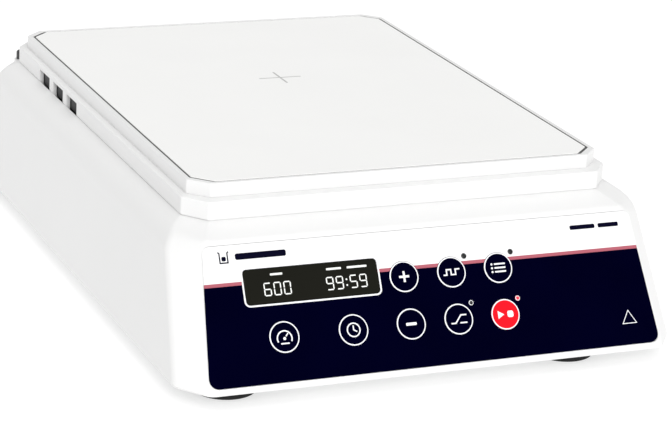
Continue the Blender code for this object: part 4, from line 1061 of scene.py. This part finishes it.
# ---- Rod socket plug -----------------------------------------------------------------------------------
# A dark plastic cap that closes the socket for a support rod, behind the plinth's rear
# left corner. Its domed head sits in a round seat and its plain stem goes down the socket.
plug_low, plug_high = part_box("rod_socket_plug")
plug_grey = textured("plug_grey", (0.06, 0.06, 0.062), 0.5, 0.45 * MM, 0.012 * MM, drift=0.2)
bm = bmesh.new()
stem = [(ROD_STEM - 0.5 * MM, plug_low.z), (ROD_STEM, plug_low.z + 0.5 * MM), (ROD_STEM, rod_seat + GAP)]
turned(bm, stem + [(ROD_HEAD, rod_seat + GAP), (ROD_HEAD, plug_high.z - 1.4 * MM),
                   (ROD_HEAD * 0.94, plug_high.z - 0.7 * MM), (ROD_HEAD * 0.8, plug_high.z - 0.2 * MM),
                   (ROD_HEAD * 0.5, plug_high.z)], rod_at.xy)
piece("rod_plug_cap", bm, plug_grey, stands_for=["rod_socket_plug"])

# ---- Floor, light and camera -----------------------------------------------------------------------------
# A pale sweep lit from within, under even studio light with a broad lamp in front.
FLOOR_SIZE = 12
bm = bmesh.new()
bmesh.ops.create_grid(bm, x_segments=2, y_segments=2, size=FLOOR_SIZE / 2)
floor_mesh = bpy.data.meshes.new("floor")
bm.to_mesh(floor_mesh)
bm.free()
lit_floor = textured("pale_floor", (0.50, 0.50, 0.50), 0.9, 2 * MM, 0.01 * MM, 0.01, specular=0.1)
glow(lit_floor, (1, 1, 1), 0.59)
floor_mesh.materials.append(lit_floor)
floor = bpy.data.objects.new("floor", floor_mesh)
bpy.context.scene.collection.objects.link(floor)

world = bpy.data.worlds.new("studio")
world.use_nodes = True
backdrop = world.node_tree.nodes["Background"]
backdrop.inputs["Color"].default_value = (1, 1, 1, 1)
backdrop.inputs["Strength"].default_value = 0.63
bpy.context.scene.world = world
for name, strength, spread, towards in (("overhead", 0.5, 70, (0.05, 0.1, -1)),
                                        ("front", 1.65, 35, (0.12, 0.9, -0.5))):
    lamp = bpy.data.lights.new(name, "SUN")
    lamp.energy = strength
    lamp.angle = math.radians(spread)
    light = bpy.data.objects.new(name, lamp)
    light.rotation_mode = "QUATERNION"
    light.rotation_quaternion = Vector(towards).to_track_quat("-Z", "Y")
    bpy.context.scene.collection.objects.link(light)

CAMERA_AT = (-0.6884, -1.6355, 0.6343)
YAW, DOWN, ROLL = (math.radians(a) for a in (23.61, 18.52, 3.14))
camera = bpy.data.cameras.new("camera")
camera.lens = 136.24
camera.sensor_width = 36
forward = Vector((math.sin(YAW) * math.cos(DOWN), math.cos(YAW) * math.cos(DOWN), -math.sin(DOWN)))
right = Vector((math.cos(YAW), -math.sin(YAW), 0))
up = right.cross(forward)
axis_x = right * math.cos(ROLL) + up * math.sin(ROLL)
axis_y = up * math.cos(ROLL) - right * math.sin(ROLL)
turn = Matrix((axis_x, axis_y, -forward)).transposed().to_4x4()
viewer = bpy.data.objects.new("camera", camera)
viewer.matrix_world = Matrix.Translation(CAMERA_AT) @ turn
bpy.context.scene.collection.objects.link(viewer)
bpy.context.scene.camera = viewer
bpy.context.scene.view_settings.view_transform = "Standard"
